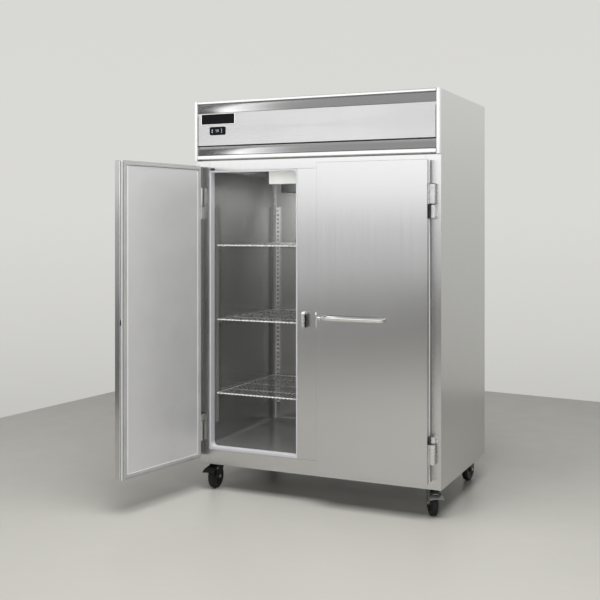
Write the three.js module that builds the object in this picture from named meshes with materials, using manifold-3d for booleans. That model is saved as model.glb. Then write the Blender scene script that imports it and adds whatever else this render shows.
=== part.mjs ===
// Two-section reach-in refrigerator: an upright insulated cabinet on four casters, with two
// hinged doors, wire shelves, a ceiling evaporator and a condensing unit behind the hood.
// Millimetres, +Z up. The cabinet faces -Y and its left is -X.
import * as THREE from 'three';
import Module from 'manifold-3d';
import { mergeVertices } from 'three/addons/utils/BufferGeometryUtils.js';
import { RoundedBoxGeometry } from 'three/addons/geometries/RoundedBoxGeometry.js';

const wasm = await Module();
wasm.setup();

// ---- Driving dimensions ---------------------------------------------------------------

// Cabinet. X is measured from its centre plane, Y from the front of the face frame.
const WIDTH = 1366;
const DEPTH = 848;
const HEIGHT = 2089;
const BASE_Z = 142;
const HOOD_Z = 1772;
const HOOD_PROUD = 26;
const SHEET = 1.2;
const FRAME_SHEET = 1.5;
const GAP = 0.4;
const SIDE_HEM = 26;

// Insulated box.
const DECK_Z = 1808;
const FLOOR_SKIN_Z = 156;
const WALL = 66;
const CAVITY = { y0: 40, y1: 790, z0: 235, z1: 1742 };
const LINER_SHEET = 1;
const LINER_RADIUS = 26;

// Door openings in the face frame and the plastic breaker strips that line them.
const OPENING = { x0: 83.5, x1: 606.5, z0: 220, z1: 1719 };
const BREAKER_SIDE = 10;
const BREAKER_SILL = 20;
const BREAKER_RADIUS = 22;

// Doors, closed. The hinge axis runs beside the door's edge.
const DOOR = { x0: 51.5, x1: 631.5, y0: -63, y1: -10, z0: 178, z1: 1744 };
const HINGE_X = 647.5;
const HINGE_Y = -20;
const LEFT_DOOR_OPEN_DEG = 100;
const GASKET_WIDTH = 20;
const PLUG_INSET = 27;
const PLUG_RISE = 7;

// Hinges: the door's barrel and the cabinet's barrel share a pin.
const BARREL_RADIUS = 14;
const CABINET_BARREL_RADIUS = 11;
const PIN_RADIUS = 5;
const HINGES = {
  upper: { door: [1528, 1630], cabinet: [1458, 1527] },
  lower: { door: [266, 370], cabinet: [371, 405] },
};

// Door pulls and locks.
const HANDLE = { inset: 25, length: 346, z: 962, height: 24, reach: 44, bar: 9, foot: 34 };
const LOCK = { inset: 13, z: 956, radius: 8, head: 10, camLength: 23, camWidth: 8, camY: -27 };
const CAM_SHEET = 3;
const CAM_POCKET = 25;
const SLOT = { below: 21, above: 6, depth: 6 };
const KEEPER = { x0: 28.5, x1: 46.5, z0: 897, z1: 984, proud: 34, round: 13 };

// Hood: a frame around a hinged service panel.
const HOOD_CHEEK = 19;
const HOOD_BEVEL = 15;
const PANEL = { z0: 1852, z1: 2024, y: -23, flange: 12 };
const CONTROLLER = { x0: -590, x1: -495, z0: 1907, z1: 1951, proud: 4, behind: 30 };

// Shelves and the slotted pilasters that carry them.
const SHELF_Z = [518, 918, 1321];
const SHELF = { x0: 6, x1: 601, y0: 64, y1: 765, thick: 6, rail: 8, wires: 14, wire: 5 };
const PILASTER = { width: 25, depth: 12, sheet: 2, z0: 350, z1: 1536 };
const PILASTER_FRONT_Y = 112;
const PILASTER_REAR_X = 576;
const CLIP = { width: 36, reach: 20, height: 8 };

// Evaporator under the ceiling.
const EVAPORATOR = { x: 343, y0: 190, y1: 640, z0: 1650, z1: 1740, sheet: 1.5 };
const EVAPORATOR_FAN = { x: 178, y: 345, radius: 138, hub: 30, z0: 1652, z1: 1678, blades: 5 };
const FAN_DRUM = { outer: 148, sheet: 2, z0: 1605 };
const COIL = { x: 320, y0: 520, y1: 620, z0: 1664 };

// Condensing unit on the deck.
const CONDENSER = { x0: 60, x1: 440, y0: 62, y1: 112, z0: 1812, z1: 2062, shroud: 42 };
const CONDENSER_FAN = { radius: 104, hub: 26, thick: 26, blades: 6 };
const COMPRESSOR = { x: -250, y: 330, radius: 92, height: 205, base: 260 };

// Casters.
const CASTER_X = 82;
const CASTER_Y = 96;
const CASTER_OFFSET = 35;
const WHEEL = { radius: 63.5, tread: 16, hub: 18, bore: 6.4, segments: 24 };
const FORK = { inner: 19.5, sheet: 3, crownZ: 133, topZ: 151.6, headRadius: 27, axle: 6 };
const PLATE = { x: 58, y: 46, z: 152, thick: 4.6 };
const PEDAL = { pivotY: -66, pivotZ: 114, width: 72, stub: 4, earSheet: 2.5 };
const CASTERS = [
  { name: 'front_left', side: -1, y: CASTER_Y, heading: 0, brake: true },
  { name: 'front_right', side: 1, y: CASTER_Y, heading: 32, brake: true },
  { name: 'rear_left', side: -1, y: DEPTH - CASTER_Y, heading: 192, brake: false },
  { name: 'rear_right', side: 1, y: DEPTH - CASTER_Y, heading: 176, brake: false },
];

const SIDES = [['left', -1], ['right', 1]];

// ---- Materials ------------------------------------------------------------------------

const finish = (color, roughness, metalness) =>
  new THREE.MeshStandardMaterial({ color, roughness, metalness });
const STAINLESS = finish(0xb9b9b6, 0.35, 1);
const LINER_STEEL = finish(0x9b9b98, 0.25, 1);
const ZINC = finish(0xb4b7b4, 0.4, 1);
const CHROME = finish(0xe0e0e0, 0.12, 1);
const FOAM = finish(0xd8c98a, 0.9, 0);
const BREAKER_PLASTIC = finish(0xc3c4cc, 0.5, 0);
const GASKET_RUBBER = finish(0x8d8f8c, 0.7, 0);
const WHEEL_RUBBER = finish(0x24231f, 0.8, 0);
const BLACK_PLASTIC = finish(0x151616, 0.4, 0);
const SHELF_WIRE = finish(0xd6d7d2, 0.4, 0.3);
const ALUMINIUM = finish(0xc6c8c8, 0.4, 1);
const BLACK_PAINT = finish(0x1c1c1c, 0.5, 0.2);

// ---- Solids ---------------------------------------------------------------------------

function solid(geometry) {
  const bare = geometry.index ? geometry.clone() : geometry;
  bare.deleteAttribute('normal');
  bare.deleteAttribute('uv');
  const merged = mergeVertices(bare, 1e-4);
  const vertProperties = new Float32Array(merged.attributes.position.array);
  const triVerts = new Uint32Array(merged.index.array);
  return new wasm.Manifold(new wasm.Mesh({ numProp: 3, vertProperties, triVerts }));
}

function join(solids) {
  return solids.reduce((sum, next) => sum.add(next));
}

function cut(body, tools) {
  return tools.reduce((rest, tool) => rest.subtract(tool), body);
}

function box(x, y, z) {
  const geometry = new THREE.BoxGeometry(x[1] - x[0], y[1] - y[0], z[1] - z[0]);
  return solid(geometry.translate((x[0] + x[1]) / 2, (y[0] + y[1]) / 2, (z[0] + z[1]) / 2));
}

function roundedBox(x, y, z, radius) {
  const geometry = new RoundedBoxGeometry(x[1] - x[0], y[1] - y[0], z[1] - z[0], 2, radius);
  return solid(geometry.translate((x[0] + x[1]) / 2, (y[0] + y[1]) / 2, (z[0] + z[1]) / 2));
}

// A cylinder along X, Y or Z. The centre gives the other two coordinates, in that order.
function cylinder(axis, centre, radius, span, segments = 32) {
  const geometry = new THREE.CylinderGeometry(radius, radius, span[1] - span[0], segments);
  const middle = (span[0] + span[1]) / 2;
  if (axis === 'x') geometry.rotateZ(Math.PI / 2).translate(middle, centre[0], centre[1]);
  if (axis === 'y') geometry.translate(centre[0], middle, centre[1]);
  if (axis === 'z') geometry.rotateX(Math.PI / 2).translate(centre[0], centre[1], middle);
  return solid(geometry);
}

// A shape drawn in XY and raised along Z.
function raise(shape, z, curveSegments = 8) {
  const options = { depth: z[1] - z[0], bevelEnabled: false, curveSegments };
  return solid(new THREE.ExtrudeGeometry(shape, options).translate(0, 0, z[0]));
}

// A shape drawn in YZ and swept along X.
function sweepX(shape, x, curveSegments = 8) {
  const options = { depth: x[1] - x[0], bevelEnabled: false, curveSegments };
  const geometry = new THREE.ExtrudeGeometry(shape, options);
  return solid(geometry.rotateX(Math.PI / 2).rotateZ(Math.PI / 2).translate(x[0], 0, 0));
}

// A shape drawn in XZ and swept along Y.
function sweepY(shape, y, curveSegments = 8) {
  const options = { depth: y[1] - y[0], bevelEnabled: false, curveSegments };
  return solid(new THREE.ExtrudeGeometry(shape, options).rotateX(Math.PI / 2).translate(0, y[1], 0));
}

function polygon(points) {
  return new THREE.Shape(points.map(([a, b]) => new THREE.Vector2(a, b)));
}

function rectangle(a, b, radius) {
  const shape = new THREE.Shape();
  shape.moveTo(a[0] + radius, b[0]);
  shape.lineTo(a[1] - radius, b[0]);
  shape.absarc(a[1] - radius, b[0] + radius, radius, -Math.PI / 2, 0);
  shape.lineTo(a[1], b[1] - radius);
  shape.absarc(a[1] - radius, b[1] - radius, radius, 0, Math.PI / 2);
  shape.lineTo(a[0] + radius, b[1]);
  shape.absarc(a[0] + radius, b[1] - radius, radius, Math.PI / 2, Math.PI);
  shape.lineTo(a[0], b[0] + radius);
  shape.absarc(a[0] + radius, b[0] + radius, radius, Math.PI, Math.PI * 1.5);
  return shape;
}

// Orders a span given from the centre plane outward, for the side it is on.
function span(side, inner, outer) {
  return side > 0 ? [inner, outer] : [-outer, -inner];
}

function grow(range, by) {
  return [range[0] - by, range[1] + by];
}

function mesh(name, body, material) {
  const { vertProperties, triVerts } = body.getMesh();
  const geometry = new THREE.BufferGeometry();
  geometry.setAttribute('position', new THREE.BufferAttribute(new Float32Array(vertProperties), 3));
  geometry.setIndex(new THREE.BufferAttribute(new Uint32Array(triVerts), 1));
  geometry.computeVertexNormals();
  const result = new THREE.Mesh(geometry, material);
  result.name = name;
  return result;
}

// ---- Cabinet --------------------------------------------------------------------------

const HALF = WIDTH / 2;
const INSIDE = HALF - SHEET - GAP;
const FRONT = FRAME_SHEET + GAP;
const BACK = DEPTH - SHEET - GAP;
const CAVITY_X = HALF - WALL;

// The skin returns behind the back panel in a narrow flange.
function sidePanel(name, side) {
  const plan = polygon([
    [side * HALF, FRONT], [side * HALF, DEPTH], [side * (HALF - SIDE_HEM), DEPTH],
    [side * (HALF - SIDE_HEM), DEPTH - SHEET], [side * (HALF - SHEET), DEPTH - SHEET], [side * (HALF - SHEET), FRONT],
  ]);
  return mesh(`side_panel_${name}`, raise(plan, [BASE_Z, HEIGHT]), STAINLESS);
}

// One sheet makes the back, flush between the side panels' hems, and folds forward over the
// insulated box as its top deck.
function outerWrap() {
  const deck = DECK_Z + GAP;
  const inner = DEPTH - SHEET;
  const half = HALF - SIDE_HEM - GAP;
  const profile = polygon([
    [FRONT, deck], [inner, deck], [inner, FLOOR_SKIN_Z], [DEPTH, FLOOR_SKIN_Z], [DEPTH, deck + SHEET],
    [FRONT, deck + SHEET],
  ]);
  return mesh('outer_wrap', sweepX(profile, [-half, half]), STAINLESS);
}

function basePanel() {
  const floor = box([-INSIDE, INSIDE], [FRONT, BACK - SHEET - GAP], [FLOOR_SKIN_Z, FLOOR_SKIN_Z + SHEET]);
  const plates = CASTERS.map(({ side, y }) => {
    const x = side * (HALF - CASTER_X);
    return box(grow([x, x], PLATE.x), grow([y, y], PLATE.y), [PLATE.z, PLATE.z + PLATE.thick]);
  });
  return mesh('base_panel', join([floor, ...plates]), ZINC);
}

function openingHole(side, y, by = 0) {
  return box(grow(span(side, OPENING.x0, OPENING.x1), by), y, grow([OPENING.z0, OPENING.z1], by));
}

function insulation() {
  const y = [FRONT, BACK - SHEET - GAP];
  const block = box([-INSIDE, INSIDE], y, [FLOOR_SKIN_Z + SHEET + GAP, DECK_Z]);
  const cavity = box([-CAVITY_X, CAVITY_X], [CAVITY.y0, CAVITY.y1], [CAVITY.z0, CAVITY.z1]);
  const holes = SIDES.map(([, side]) => openingHole(side, [-1, CAVITY.y0 + 1]));
  return mesh('insulation', cut(block, [cavity, ...holes]), FOAM);
}

// The tub's walls meet in coved corners. Its front edge is square and carries the front wall.
function interiorLiner() {
  const x = grow([-CAVITY_X, CAVITY_X], -GAP);
  const z = grow([CAVITY.z0, CAVITY.z1], -GAP);
  const reach = 3 * LINER_RADIUS;
  const front = CAVITY.y0 + GAP;
  const back = CAVITY.y1 - GAP;
  const outside = roundedBox(x, [front - reach, back], z, LINER_RADIUS);
  const room = roundedBox(grow(x, -LINER_SHEET), [front - reach, back - LINER_SHEET], grow(z, -LINER_SHEET),
    LINER_RADIUS - LINER_SHEET);
  const ahead = box(grow(x, 10), [front - 2 * reach, front], grow(z, 10));
  const tub = cut(outside, [ahead, room]);
  const wall = outside.intersect(box(grow(x, 10), [front, front + LINER_SHEET], grow(z, 10)));
  const floorTop = CAVITY.z0 + GAP + LINER_SHEET;
  const holes = SIDES.map(([, side]) =>
    box(span(side, OPENING.x0, OPENING.x1), [front - 1, front + LINER_SHEET + 1], [floorTop, OPENING.z1]));
  return mesh('interior_liner', tub.add(cut(wall, holes)), LINER_STEEL);
}

function faceFrame() {
  const sheet = box([-HALF, HALF], [0, FRAME_SHEET], [BASE_Z, HOOD_Z - GAP]);
  const holes = SIDES.map(([, side]) => openingHole(side, [-1, FRAME_SHEET + 1]));
  return mesh('face_frame', cut(sheet, holes), STAINLESS);
}

function breakerStrip(name, side) {
  const x = grow(span(side, OPENING.x0, OPENING.x1), -GAP);
  const z = grow([OPENING.z0, OPENING.z1], -GAP);
  const ring = rectangle(x, z, 2);
  const clearZ = [OPENING.z0 + BREAKER_SILL, OPENING.z1 - BREAKER_SIDE];
  ring.holes.push(rectangle(grow(span(side, OPENING.x0, OPENING.x1), -BREAKER_SIDE), clearZ, BREAKER_RADIUS));
  return mesh(`breaker_strip_${name}`, sweepY(ring, [0, CAVITY.y0], 4), BREAKER_PLASTIC);
}

// A lock keeper stands proud of the mullion beside the door's edge and opens towards it.
function keeper(name, side) {
  const { x0, x1, z0, z1, proud, round } = KEEPER;
  const profile = new THREE.Shape();
  profile.moveTo(-GAP, z0);
  profile.lineTo(-proud + round, z0);
  profile.absarc(-proud + round, z0 + round, round, -Math.PI / 2, -Math.PI, true);
  profile.lineTo(-proud, z1 - round);
  profile.absarc(-proud + round, z1 - round, round, Math.PI, Math.PI / 2, true);
  profile.lineTo(-GAP, z1);
  const body = sweepX(profile, span(side, x0, x1), 5);
  const pocket = box(span(side, x0 + 4, x1 + 1), [-proud + 2, -proud + 14], [LOCK.z - 22, LOCK.z + 10]);
  return mesh(`lock_keeper_${name}`, body.subtract(pocket), CHROME);
}

// ---- Hood -----------------------------------------------------------------------------

// Rails above and below the service panel are hollowed towards the back of their front lips.
function hoodFrame() {
  const innerX = HALF - HOOD_CHEEK - HOOD_BEVEL;
  const back = FRONT - GAP;
  const upper = polygon([
    [back, HEIGHT], [-HOOD_PROUD, HEIGHT], [-HOOD_PROUD, HEIGHT - 11], [-8, HEIGHT - 12],
    [-21, PANEL.z1 + 4], [-18, PANEL.z1 + GAP], [-14, PANEL.z1 + GAP], [back, HEIGHT - 14],
  ]);
  const lower = new THREE.Shape();
  lower.moveTo(back, PANEL.z0 - GAP);
  lower.lineTo(-7, PANEL.z0 - GAP);
  lower.lineTo(-7, PANEL.z0 - 5);
  lower.lineTo(-22, HOOD_Z + 40);
  lower.quadraticCurveTo(-HOOD_PROUD, HOOD_Z + 36, -HOOD_PROUD, HOOD_Z + 28);
  lower.lineTo(-HOOD_PROUD, HOOD_Z + 10);
  lower.quadraticCurveTo(-HOOD_PROUD, HOOD_Z, -16, HOOD_Z);
  lower.lineTo(back, HOOD_Z);
  const rails = [sweepX(upper, [-innerX - 1, innerX + 1]), sweepX(lower, [-innerX - 1, innerX + 1], 4)];
  const cheeks = SIDES.map(([, side]) => raise(polygon([
    [side * HALF, back], [side * HALF, -HOOD_PROUD], [side * (HALF - HOOD_CHEEK), -HOOD_PROUD],
    [side * innerX, -18], [side * innerX, back],
  ]), [HOOD_Z, HEIGHT]));
  return mesh('hood_frame', join([...cheeks, ...rails]), STAINLESS);
}

// The panel hangs from its upper edge. Its sides and lower edge are folded back.
function servicePanel() {
  const x = HALF - HOOD_CHEEK - HOOD_BEVEL - GAP;
  const z = [PANEL.z0 + GAP, PANEL.z1 - GAP];
  const pan = box([-x, x], [PANEL.y, PANEL.y + PANEL.flange], z);
  const inside = box([-x + SHEET, x - SHEET], [PANEL.y + SHEET, PANEL.y + PANEL.flange + 1],
    [z[0] + SHEET, z[1] + 1]);
  const topBack = box([-x - 1, x + 1], [PANEL.y + SHEET, PANEL.y + PANEL.flange + 1], [z[1] - 14, z[1] + 1]);
  const pocket = grow([CONTROLLER.x0, CONTROLLER.x1], -5 + GAP);
  const cutout = box(pocket, [PANEL.y - 1, PANEL.y + SHEET + 1], grow([CONTROLLER.z0, CONTROLLER.z1], -5 + GAP));
  return mesh('service_panel', cut(pan, [inside, topBack, cutout]), STAINLESS);
}

function controller() {
  const { x0, x1, z0, z1, proud, behind } = CONTROLLER;
  const bezel = sweepY(rectangle([x0, x1], [z0, z1], 9), [PANEL.y - proud, PANEL.y - GAP], 4);
  const housing = box([x0 + 5, x1 - 5], [PANEL.y - proud + 1, PANEL.y + behind], [z0 + 5, z1 - 5]);
  return mesh('controller', bezel.add(housing), BLACK_PLASTIC);
}

// ---- Refrigeration --------------------------------------------------------------------

// Blades are pitched plates rooted in the hub. The rotor turns about Z at the origin.
function rotor({ radius, hub, thick, blades }) {
  const parts = [cylinder('z', [0, 0], hub, [0, thick], 20)];
  for (let i = 0; i < blades; i += 1) {
    const blade = new THREE.BoxGeometry(radius - hub + 6, radius * 0.55, 2);
    blade.rotateX(THREE.MathUtils.degToRad(22)).translate((radius + hub - 6) / 2, 0, thick / 2);
    parts.push(solid(blade.rotateZ((i * 2 * Math.PI) / blades)));
  }
  const sweep = cylinder('z', [0, 0], radius, [0, thick], 32);
  return join(parts).intersect(sweep);
}

function evaporatorHousing() {
  const { x, y0, y1, z0, z1, sheet } = EVAPORATOR;
  const outside = box([-x, x], [y0, y1], [z0, z1]);
  const inside = box([-x + sheet, x - sheet], [y0 + sheet, y1 - sheet], [z0 + sheet, z1 - sheet]);
  const outlet = box([-x + 30, x - 30], [y1 - sheet - 1, y1 + 1], [z0 + 14, z1 - 14]);
  const fan = EVAPORATOR_FAN;
  const bore = FAN_DRUM.outer - FAN_DRUM.sheet;
  const inlets = [-1, 1].map((side) => cylinder('z', [side * fan.x, fan.y], bore, [z0 - 1, z0 + 20], 40));
  const drums = [-1, 1].map((side) => cut(
    cylinder('z', [side * fan.x, fan.y], FAN_DRUM.outer, [FAN_DRUM.z0, z0 + sheet / 2], 40),
    [cylinder('z', [side * fan.x, fan.y], bore, [FAN_DRUM.z0 - 1, z0 + 20], 40)],
  ));
  const motors = [-1, 1].map((side) =>
    cylinder('z', [side * fan.x, fan.y], 30, [fan.z1 + GAP, z1 - sheet / 2], 24));
  const coil = box([-COIL.x, COIL.x], [COIL.y0, COIL.y1], [COIL.z0, z1 - sheet / 2]);
  const shell = cut(outside, [inside, outlet, ...inlets]);
  return mesh('evaporator_housing', join([shell, coil, ...drums, ...motors]), ALUMINIUM);
}

function evaporatorFan(name, side) {
  const { x, y, z0, z1, radius, hub, blades } = EVAPORATOR_FAN;
  const fan = mesh(`evaporator_fan_${name}`, rotor({ radius, hub, thick: z1 - z0, blades }), BLACK_PLASTIC);
  fan.position.set(side * x, y, z0);
  return fan;
}

function condenserCoil() {
  const { x0, x1, y0, y1, z0, z1, shroud } = CONDENSER;
  const coil = box([x0, x1], [y0, y1], [z0, z1]);
  const x = (x0 + x1) / 2;
  const z = (z0 + z1) / 2;
  const cowl = box([x0 + 4, x1 - 4], [y1 - 1, y1 + shroud], [z0, z1 - 4]);
  const plenum = box([x0 + 6, x1 - 6], [y1 + GAP, y1 + 12], [z0 + 2, z1 - 6]);
  const throat = cylinder('y', [x, z], CONDENSER_FAN.radius + 8, [y1, y1 + shroud + 1], 40);
  const motor = cylinder('y', [x, z], 32, [y1 - 1, y1 + 8], 24);
  return mesh('condenser_coil', coil.add(cut(cowl, [plenum, throat])).add(motor), ALUMINIUM);
}

function condenserFan() {
  const { x0, x1, y1, z0, z1 } = CONDENSER;
  const fan = mesh('condenser_fan', rotor(CONDENSER_FAN), ALUMINIUM);
  fan.rotation.x = -Math.PI / 2;
  fan.position.set((x0 + x1) / 2, y1 + 8 + GAP, (z0 + z1) / 2);
  return fan;
}

// A hermetic compressor can on its base plate.
function compressor() {
  const { x, y, radius, height, base } = COMPRESSOR;
  const deck = DECK_Z + 2 * GAP + SHEET;
  const profile = new THREE.Path();
  profile.moveTo(0, 0);
  profile.lineTo(radius * 0.86, 0);
  profile.quadraticCurveTo(radius, 0, radius, radius * 0.3);
  profile.lineTo(radius, height - radius * 0.75);
  profile.quadraticCurveTo(radius, height, 0, height);
  const can = new THREE.LatheGeometry(profile.getPoints(4), 24);
  const body = solid(can.rotateX(Math.PI / 2).translate(x, y, deck + 14));
  const plate = box(grow([x, x], base / 2), grow([y, y], base * 0.36), [deck + 10, deck + 15]);
  const feet = [-1, 1].flatMap((i) => [-1, 1].map((j) =>
    cylinder('z', [x + i * base * 0.42, y + j * base * 0.28], 12, [deck, deck + 11], 16)));
  return mesh('compressor', join([body, plate, ...feet]), BLACK_PAINT);
}

// ---- Shelves --------------------------------------------------------------------------

// A grille of front-to-back wires between a front and a rear rail.
function shelf(name, side, index) {
  const { x0, x1, y0, y1, thick, rail, wires, wire } = SHELF;
  const x = span(side, x0, x1);
  const z = [SHELF_Z[index] - thick, SHELF_Z[index]];
  const parts = [box(x, [y0, y0 + rail], z), box(x, [y1 - rail, y1], z)];
  for (let i = 0; i < wires; i += 1) {
    const left = x[0] + 1 + (i * (x1 - x0 - wire - 2)) / (wires - 1);
    parts.push(box([left, left + wire], [y0 + 1, y1 - 1], grow(z, -1)));
  }
  return mesh(`shelf_${name}_${index + 1}`, join(parts), SHELF_WIRE);
}

// A channel with three clips. It is drawn against a wall at Y = 0, reaching to -Y.
function pilasterSolid(clipHalfWidth) {
  const { width, depth, sheet, z0, z1 } = PILASTER;
  const half = width / 2;
  const channel = polygon([
    [-half, 0], [-half, -depth], [half, -depth], [half, 0],
    [half - sheet, 0], [half - sheet, -depth + sheet], [-half + sheet, -depth + sheet], [-half + sheet, 0],
  ]);
  const clips = SHELF_Z.map((z) => {
    const top = z - SHELF.thick - GAP;
    return box([-clipHalfWidth, clipHalfWidth], [-depth - CLIP.reach, -depth + 1], [top - CLIP.height, top]);
  });
  return join([raise(channel, [z0, z1]), ...clips]);
}

function pilaster(name, x, y, turnDeg, clipHalfWidth) {
  const result = mesh(`pilaster_${name}`, pilasterSolid(clipHalfWidth), STAINLESS);
  result.rotation.z = THREE.MathUtils.degToRad(turnDeg);
  result.position.set(x, y, 0);
  return result;
}

function pilasters() {
  const wallX = CAVITY_X - 2 * GAP - LINER_SHEET;
  const frontY = CAVITY.y0 + 2 * GAP + LINER_SHEET;
  const rearY = CAVITY.y1 - 2 * GAP - LINER_SHEET;
  const list = SIDES.flatMap(([name, side]) => [
    pilaster(`${name}_front`, side * wallX, PILASTER_FRONT_Y, -90 * side, CLIP.width / 2),
    pilaster(`${name}_rear`, side * PILASTER_REAR_X, rearY, 0, CLIP.width / 2),
  ]);
  list.push(pilaster('centre_front', 0, frontY, 180, CLIP.width));
  list.push(pilaster('centre_rear', 0, rearY, 0, CLIP.width));
  return list;
}

// ---- Doors ----------------------------------------------------------------------------

const DOOR_X = (side, inset0, inset1) => span(side, DOOR.x0 + inset0, DOOR.x1 - inset1);
const LOCK_X = (side) => side * (DOOR.x0 + LOCK.inset);

// The outer pan is folded back on all four edges. The cam's slot is in its free edge.
function doorShell(name, side) {
  const y = [DOOR.y0, DOOR.y1];
  const z = [DOOR.z0, DOOR.z1];
  const pan = box(DOOR_X(side, 0, 0), y, z);
  const inside = box(DOOR_X(side, SHEET, SHEET), [y[0] + SHEET, y[1] + 1], grow(z, -SHEET));
  const slotY = grow([LOCK.camY, LOCK.camY], SLOT.depth / 2);
  const slotZ = [LOCK.z - SLOT.below, LOCK.z + SLOT.above];
  const slot = box(span(side, DOOR.x0 - 1, DOOR.x0 + SHEET + 1), slotY, slotZ);
  const bore = cylinder('y', [LOCK_X(side), LOCK.z], LOCK.radius + GAP, [y[0] - 1, y[0] + SHEET + 1], 24);
  return mesh(`door_shell_${name}`, cut(pan, [inside, slot, bore]), STAINLESS);
}

// The inner liner and the foam behind it are one part, with a raised plug inside the gasket.
function doorLiner(name, side) {
  const inset = SHEET + GAP;
  const y = [DOOR.y0 + inset, DOOR.y1];
  const block = box(DOOR_X(side, inset, inset), y, grow([DOOR.z0, DOOR.z1], -inset));
  const plugX = DOOR_X(side, PLUG_INSET, PLUG_INSET);
  const plugZ = grow([DOOR.z0, DOOR.z1], -PLUG_INSET);
  const plug = sweepY(rectangle(plugX, plugZ, 8), [y[1] - 1, y[1] + PLUG_RISE], 3);
  const lockX = LOCK_X(side);
  const well = cylinder('y', [lockX, LOCK.z], LOCK.radius + 2, [y[0] - 1, LOCK.camY], 24);
  const pocket = cylinder('y', [lockX, LOCK.z], CAM_POCKET, grow([LOCK.camY, LOCK.camY], SLOT.depth / 2), 32);
  return mesh(`door_liner_${name}`, cut(block.add(plug), [well, pocket]), LINER_STEEL);
}

function gasket(name, side) {
  const z = grow([DOOR.z0, DOOR.z1], -2);
  const ring = rectangle(DOOR_X(side, 2, 2), z, 4);
  ring.holes.push(rectangle(DOOR_X(side, 2 + GASKET_WIDTH, 2 + GASKET_WIDTH), grow(z, -GASKET_WIDTH), 3));
  return mesh(`door_gasket_${name}`, sweepY(ring, [DOOR.y1 + GAP, -GAP], 3), GASKET_RUBBER);
}

// A bowed bar between two feet that stand on the door.
function handle(name, side) {
  const { inset, length, z, height, reach, bar, foot } = HANDLE;
  const face = DOOR.y0 - GAP;
  const half = length / 2;
  const bow = new THREE.Shape();
  bow.moveTo(-half, face);
  bow.quadraticCurveTo(-half, face - reach * 0.72, -half + foot + 6, face - reach * 0.84);
  bow.quadraticCurveTo(0, face - reach - 6, half - foot - 6, face - reach * 0.84);
  bow.quadraticCurveTo(half, face - reach * 0.72, half, face);
  bow.lineTo(half - foot, face);
  bow.quadraticCurveTo(half - foot, face - reach * 0.84 + bar, half - foot - 20, face - reach * 0.84 + bar - 1);
  bow.quadraticCurveTo(0, face - reach - 6 + bar, -half + foot + 20, face - reach * 0.84 + bar - 1);
  bow.quadraticCurveTo(-half + foot, face - reach * 0.84 + bar, -half + foot, face);
  const body = raise(bow, grow([z, z], height / 2), 8);
  const result = mesh(`door_handle_${name}`, body, CHROME);
  result.position.x = side * (DOOR.x0 + inset + half);
  return result;
}

// The cylinder turns the cam from hanging down to pointing out of the door's free edge.
function lock(name, side) {
  const x = LOCK_X(side);
  const { z, radius, head, camLength, camWidth, camY } = LOCK;
  const body = cylinder('y', [x, z], radius, [DOOR.y0 - 2, camY + CAM_SHEET / 2], 24);
  const rim = cylinder('y', [x, z], head, [DOOR.y0 - 3.5, DOOR.y0 - GAP], 28);
  const keyway = box(grow([x, x], 0.8), [DOOR.y0 - 4, DOOR.y0 - 1.5], grow([z, z], 4));
  const sheet = grow([camY, camY], CAM_SHEET / 2);
  const cam = box(grow([x, x], camWidth / 2), sheet, [z - camLength, z]);
  return mesh(`lock_cylinder_${name}`, join([body, rim, cam]).subtract(keyway), CHROME);
}

function hingeDoorLeaf(name, side, where) {
  const z = HINGES[where].door;
  const barrel = cylinder('z', [side * HINGE_X, HINGE_Y], BARREL_RADIUS, z, 28);
  const leaf = box(span(side, DOOR.x1 + GAP, DOOR.x1 + GAP + 2.5), [DOOR.y0 + 6, DOOR.y1 - 2], z);
  const web = box(span(side, DOOR.x1 + GAP, HINGE_X), [HINGE_Y - 9, HINGE_Y + 6], z);
  const below = HINGES[where].cabinet[0] < z[0];
  const bore = below ? [z[0] - 1, z[0] + 42] : [z[1] - 42, z[1] + 1];
  const hole = cylinder('z', [side * HINGE_X, HINGE_Y], PIN_RADIUS + GAP, bore, 20);
  return mesh(`hinge_door_${name}_${where}`, join([barrel, leaf, web]).subtract(hole), CHROME);
}

function hingeCabinetLeaf(name, side, where) {
  const z = HINGES[where].cabinet;
  const axis = [side * HINGE_X, HINGE_Y];
  const barrel = cylinder('z', axis, CABINET_BARREL_RADIUS, z, 24);
  const leaf = box(span(side, HINGE_X - 8, HINGE_X + 26), [-3, -GAP], grow(z, 3));
  const web = box(span(side, HINGE_X - 3, HINGE_X + 10), [HINGE_Y, -2], z);
  const below = z[0] < HINGES[where].door[0];
  const pin = cylinder('z', axis, PIN_RADIUS, below ? [z[0] + 1, z[1] + 40] : [z[0] - 40, z[1] - 1], 20);
  return mesh(`hinge_cabinet_${name}_${where}`, join([barrel, leaf, web, pin]), CHROME);
}

// Everything on a door turns with it about the hinge axis.
function door(name, side, openDeg) {
  const pivot = new THREE.Group();
  pivot.position.set(side * HINGE_X, HINGE_Y, 0);
  pivot.rotation.z = THREE.MathUtils.degToRad(side * openDeg);
  const closed = new THREE.Group();
  closed.position.set(-side * HINGE_X, -HINGE_Y, 0);
  closed.add(doorShell(name, side), doorLiner(name, side), gasket(name, side), handle(name, side));
  closed.add(lock(name, side), hingeDoorLeaf(name, side, 'upper'), hingeDoorLeaf(name, side, 'lower'));
  pivot.add(closed);
  return pivot;
}

// ---- Casters --------------------------------------------------------------------------
// Each caster is drawn about its swivel axis, with its wheel trailing towards -Y.

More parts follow.
